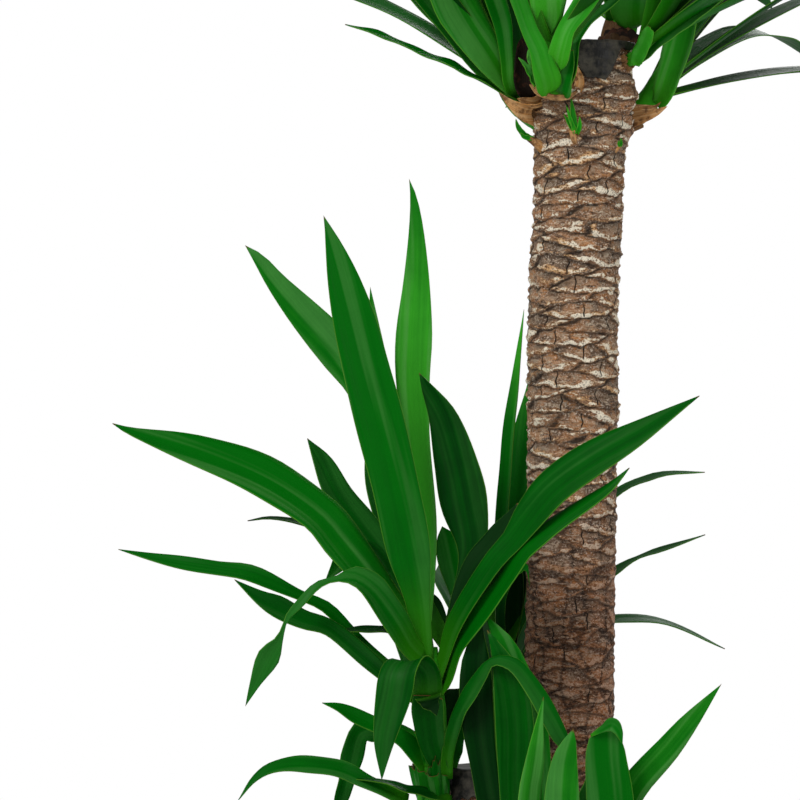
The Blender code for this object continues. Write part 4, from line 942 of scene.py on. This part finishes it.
def makeSoil(material, chipMaterial):
    edge, foot, below = soilRadius(soil["top"]), soilRadius(soil["bottom"]), 3  # rows of the underside

    def place(around, up, vertex):
        turn, row = fullTurn * around, up * soil["rows"]
        if row < below:
            reach = (0, foot - 0.001, foot)[round(row)]
            return reach * math.cos(turn), reach * math.sin(turn), soil["bottom"]
        share = 1 - (row - below) / (soil["rows"] - below)
        spot = Vector((math.cos(turn), math.sin(turn), 0)) * edge * share
        crumb = float(roundNoise(np.array(spot.x * 90), np.array(spot.y), 9, 800, "crumb", 9))
        clod = float(roundNoise(np.array(spot.x * 30), np.array(spot.y), 5, 200, "clod", 7))
        dip = soil["uneven"] * (0.45 + 0.22 * clod + 0.14 * crumb + 0.4 * share**6)
        return spot.x, spot.y, soil["top"] - dip

    work = bmesh.new()
    bentGrid(work, soil["columns"], soil["rows"], place)
    finishPiece(work, "soilBed", material, ["soil"])
    chance = random.Random(12)
    work = bmesh.new()
    layers = bladeLayers(work)
    for _ in range(soil["chips"]):
        turn, away = chance.uniform(0, 6.28), edge * math.sqrt(chance.uniform(0.01, 0.86))
        spot = Vector((away * math.cos(turn), away * math.sin(turn), soil["top"] - 0.0022))
        if any((spot.xy - Vector(cane["line"][0][:2])).length < cane["radius"] + 0.006
               for cane in canes.values()):
            continue
        size = chance.uniform(*soil["chipRadius"])
        chip = bmesh.ops.create_icosphere(work, subdivisions=1, radius=size)["verts"]
        stretch = Vector((1, chance.uniform(0.4, 0.9), chance.uniform(0.2, 0.4)))
        heading, tone = chance.uniform(0, 6.28), chance.random()
        for vertex in chip:
            shaped = vertex.co * stretch
            shaped *= 1 + 0.25 * math.sin(900 * shaped.x + heading)
            vertex.co = spot + Vector((shaped.x * math.cos(heading) - shaped.y * math.sin(heading),
                                       shaped.x * math.sin(heading) + shaped.y * math.cos(heading), shaped.z))
            vertex[layers[0]] = (vertex.co.x, vertex.co.y, tone)
            vertex[layers[1]] = (tone * 0.7, 0.5, 0)
    finishPiece(work, "soilChips", chipMaterial, ["soil"], weld=thin["weld"])


# The pot: a wall profile spun round, with a stepped rim, thin ribs under it and holes in its foot
pot = {"height": 0.265, "top": 0.140, "base": 0.104, "wall": 0.0026, "floor": 0.003, "rimHigh": 0.028,
       "rimStep": 0.0035, "edge": 0.003, "rib": 0.0003, "steps": 96, "drains": 6, "drainRing": 0.070,
       "drainRadius": 0.006, "drainDepth": 0.012}


def makePot(material):
    def outer(height):
        return pot["base"] + (pot["top"] - pot["base"]) * height / pot["height"]

    rim, band, top, base, edge = (
        pot["top"] + pot["rimStep"], pot["height"] - pot["rimHigh"], pot["height"], pot["base"], pot["edge"])
    inner, floorEdge = pot["top"] - pot["wall"], outer(pot["floor"]) - pot["wall"]
    profile = [
        (0, 0), (0.092, 0), (0.0925, 0.0008), (0.0985, 0.0008), (0.099, 0), (base - edge, 0),
        (base - 0.001, 0.001), (base, edge),
        *[(outer(h) + pot["rib"] * (k % 2), h) for k, h in enumerate(np.linspace(0.02, band - 0.012, 9))],
        (outer(band - edge), band - edge), (rim - edge / 2, band - 0.0004),
        (rim - 0.0004, band + 0.0012), (rim, band + edge), (rim, top - edge),
        (rim - 0.0008, top - 0.0009), (rim - edge, top), (inner + 0.001, top), (inner, top - 0.001),
        (floorEdge + 0.0004, 0.008), (floorEdge - 0.003, pot["floor"]), (0, pot["floor"])]
    work = bmesh.new()
    points = [work.verts.new((radius, 0, height)) for radius, height in profile]
    edges = [work.edges.new(pair) for pair in zip(points, points[1:])]
    bmesh.ops.spin(work, geom=points + edges, cent=(0, 0, 0), axis=(0, 0, 1), angle=fullTurn,
                   steps=pot["steps"], use_merge=True)
    made = finishPiece(work, "potShell", material, ["pot"])
    work = bmesh.new()
    for k in range(pot["drains"]):
        turn = fullTurn * k / pot["drains"]
        drill = bmesh.ops.create_cone(work, cap_ends=True, segments=24, radius1=pot["drainRadius"],
                                      radius2=pot["drainRadius"], depth=pot["drainDepth"])["verts"]
        bmesh.ops.translate(work, verts=drill, vec=(pot["drainRing"] * math.cos(turn),
                                                    pot["drainRing"] * math.sin(turn), 0.001))
    drills = makeObject(work, "drills")
    holes = made.modifiers.new("holes", "BOOLEAN")
    holes.operation, holes.solver, holes.object = "DIFFERENCE", "EXACT", drills
    drilled = bpy.data.meshes.new_from_object(made.evaluated_get(bpy.context.evaluated_depsgraph_get()))
    made.modifiers.clear()
    made.data = drilled
    made.data.set_sharp_from_angle(angle=math.radians(35))
    bpy.data.objects.remove(drills, do_unlink=True)


# Studio: white surroundings, a pale floor, one broad soft light high at the left, a weaker one at the right
# and one behind. Each light: its power, where it is, where it looks and how wide it is.
studio = {
    "camera": (-0.1115, -3.0, 1.0537), "seenWidth": 0.661, "sensor": 36.0, "clipEnd": 60, "floorRadius": 5.2,
    "surround": 0.55, "lights": {
        "broad light": (62.0, (-1.5, -2.2, 2.9), (0, 0, 1.0), 1.4),
        "fill light": (20.0, (2.2, -1.8, 1.6), (0, 0, 0.9), 1.6),
        "back light": (26.0, (0.9, 2.2, 2.6), (0, 0, 1.1), 1.2)},
}


def makeStudio():
    world = bpy.data.worlds.new("white surroundings")
    scene.world = world
    world.use_nodes = True
    world.node_tree.nodes.clear()
    lit, seen = (addNode(world, "Background", {"Color": "ffffff", "Strength": power})
                 for power in (studio["surround"], 1))
    ray = addNode(world, "LightPath", {}, "Is Camera Ray")
    addNode(world, "OutputWorld", {"Surface": addNode(world, "MixShader", {0: ray, 1: lit, 2: seen})})
    for name, (power, place, aim, size) in studio["lights"].items():
        data = bpy.data.lights.new(name, "AREA")
        data.energy, data.shape, data.size = power, "DISK", size
        light = bpy.data.objects.new(name, data)
        light.location = place
        light.rotation_euler = (Vector(aim) - Vector(place)).to_track_quat("-Z", "Y").to_euler()
        scene.collection.objects.link(light)
    work = bmesh.new()
    bmesh.ops.create_circle(work, cap_ends=True, segments=96, radius=studio["floorRadius"])
    floor = makeObject(work, "floor")
    paper = newMaterial("pale studio paper", Roughness=0.9, Specular_IOR_Level=0.2)
    tooth = addNode(paper, "TexNoise", {"Vector": addNode(paper, "TexCoord", {}, "Object"), "Scale": 30})
    pale = layColours(paper, "f2f2f1", ("f6f6f5", tooth, 0, 1, 1), easing="LINEAR")
    floor.data.materials.append(connect(paper, Base_Color=pale))
    floor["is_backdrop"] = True
    data = bpy.data.cameras.new("camera")
    data.sensor_width = studio["sensor"]
    data.lens = studio["sensor"] * -studio["camera"][1] / studio["seenWidth"]
    data.clip_end = studio["clipEnd"]
    camera = bpy.data.objects.new("camera", data)
    camera.location = studio["camera"]
    camera.rotation_euler = (math.radians(90), 0, 0)
    scene.collection.objects.link(camera)
    scene.camera = camera


print("studio and camera")
makeStudio()
print("materials")
corky, waxed, papery = corkyBark(), treeWax(), drySheath()
leafy, budGreen = waxyLeaf(), waxyLeaf("young bud leaf", "0a5a0c", "1c8a14", "5cb52c")
print("pot and soil")
makePot(mouldedPot())
makeSoil(pottingSoil(), papery)
for caneName in canes:
    print("cane and wax:", caneName)
    makeBark(caneName, corky)
    makeWax(caneName, waxed)
for shootName in shoots:
    print("leaves:", shootName)
    makeShoot(shootName, leafy)
print("cups and buds")
for cupName in cups:
    makeCups(cupName, leafy if cupName == "cupsMiddleLeft" else papery)
for bractName in bracts:
    makeBracts(bractName, papery)
for budName in buds:
    makeBud(budName, budGreen, papery)

[[list(corner) for corner in box] for box in (cadBox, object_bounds())]
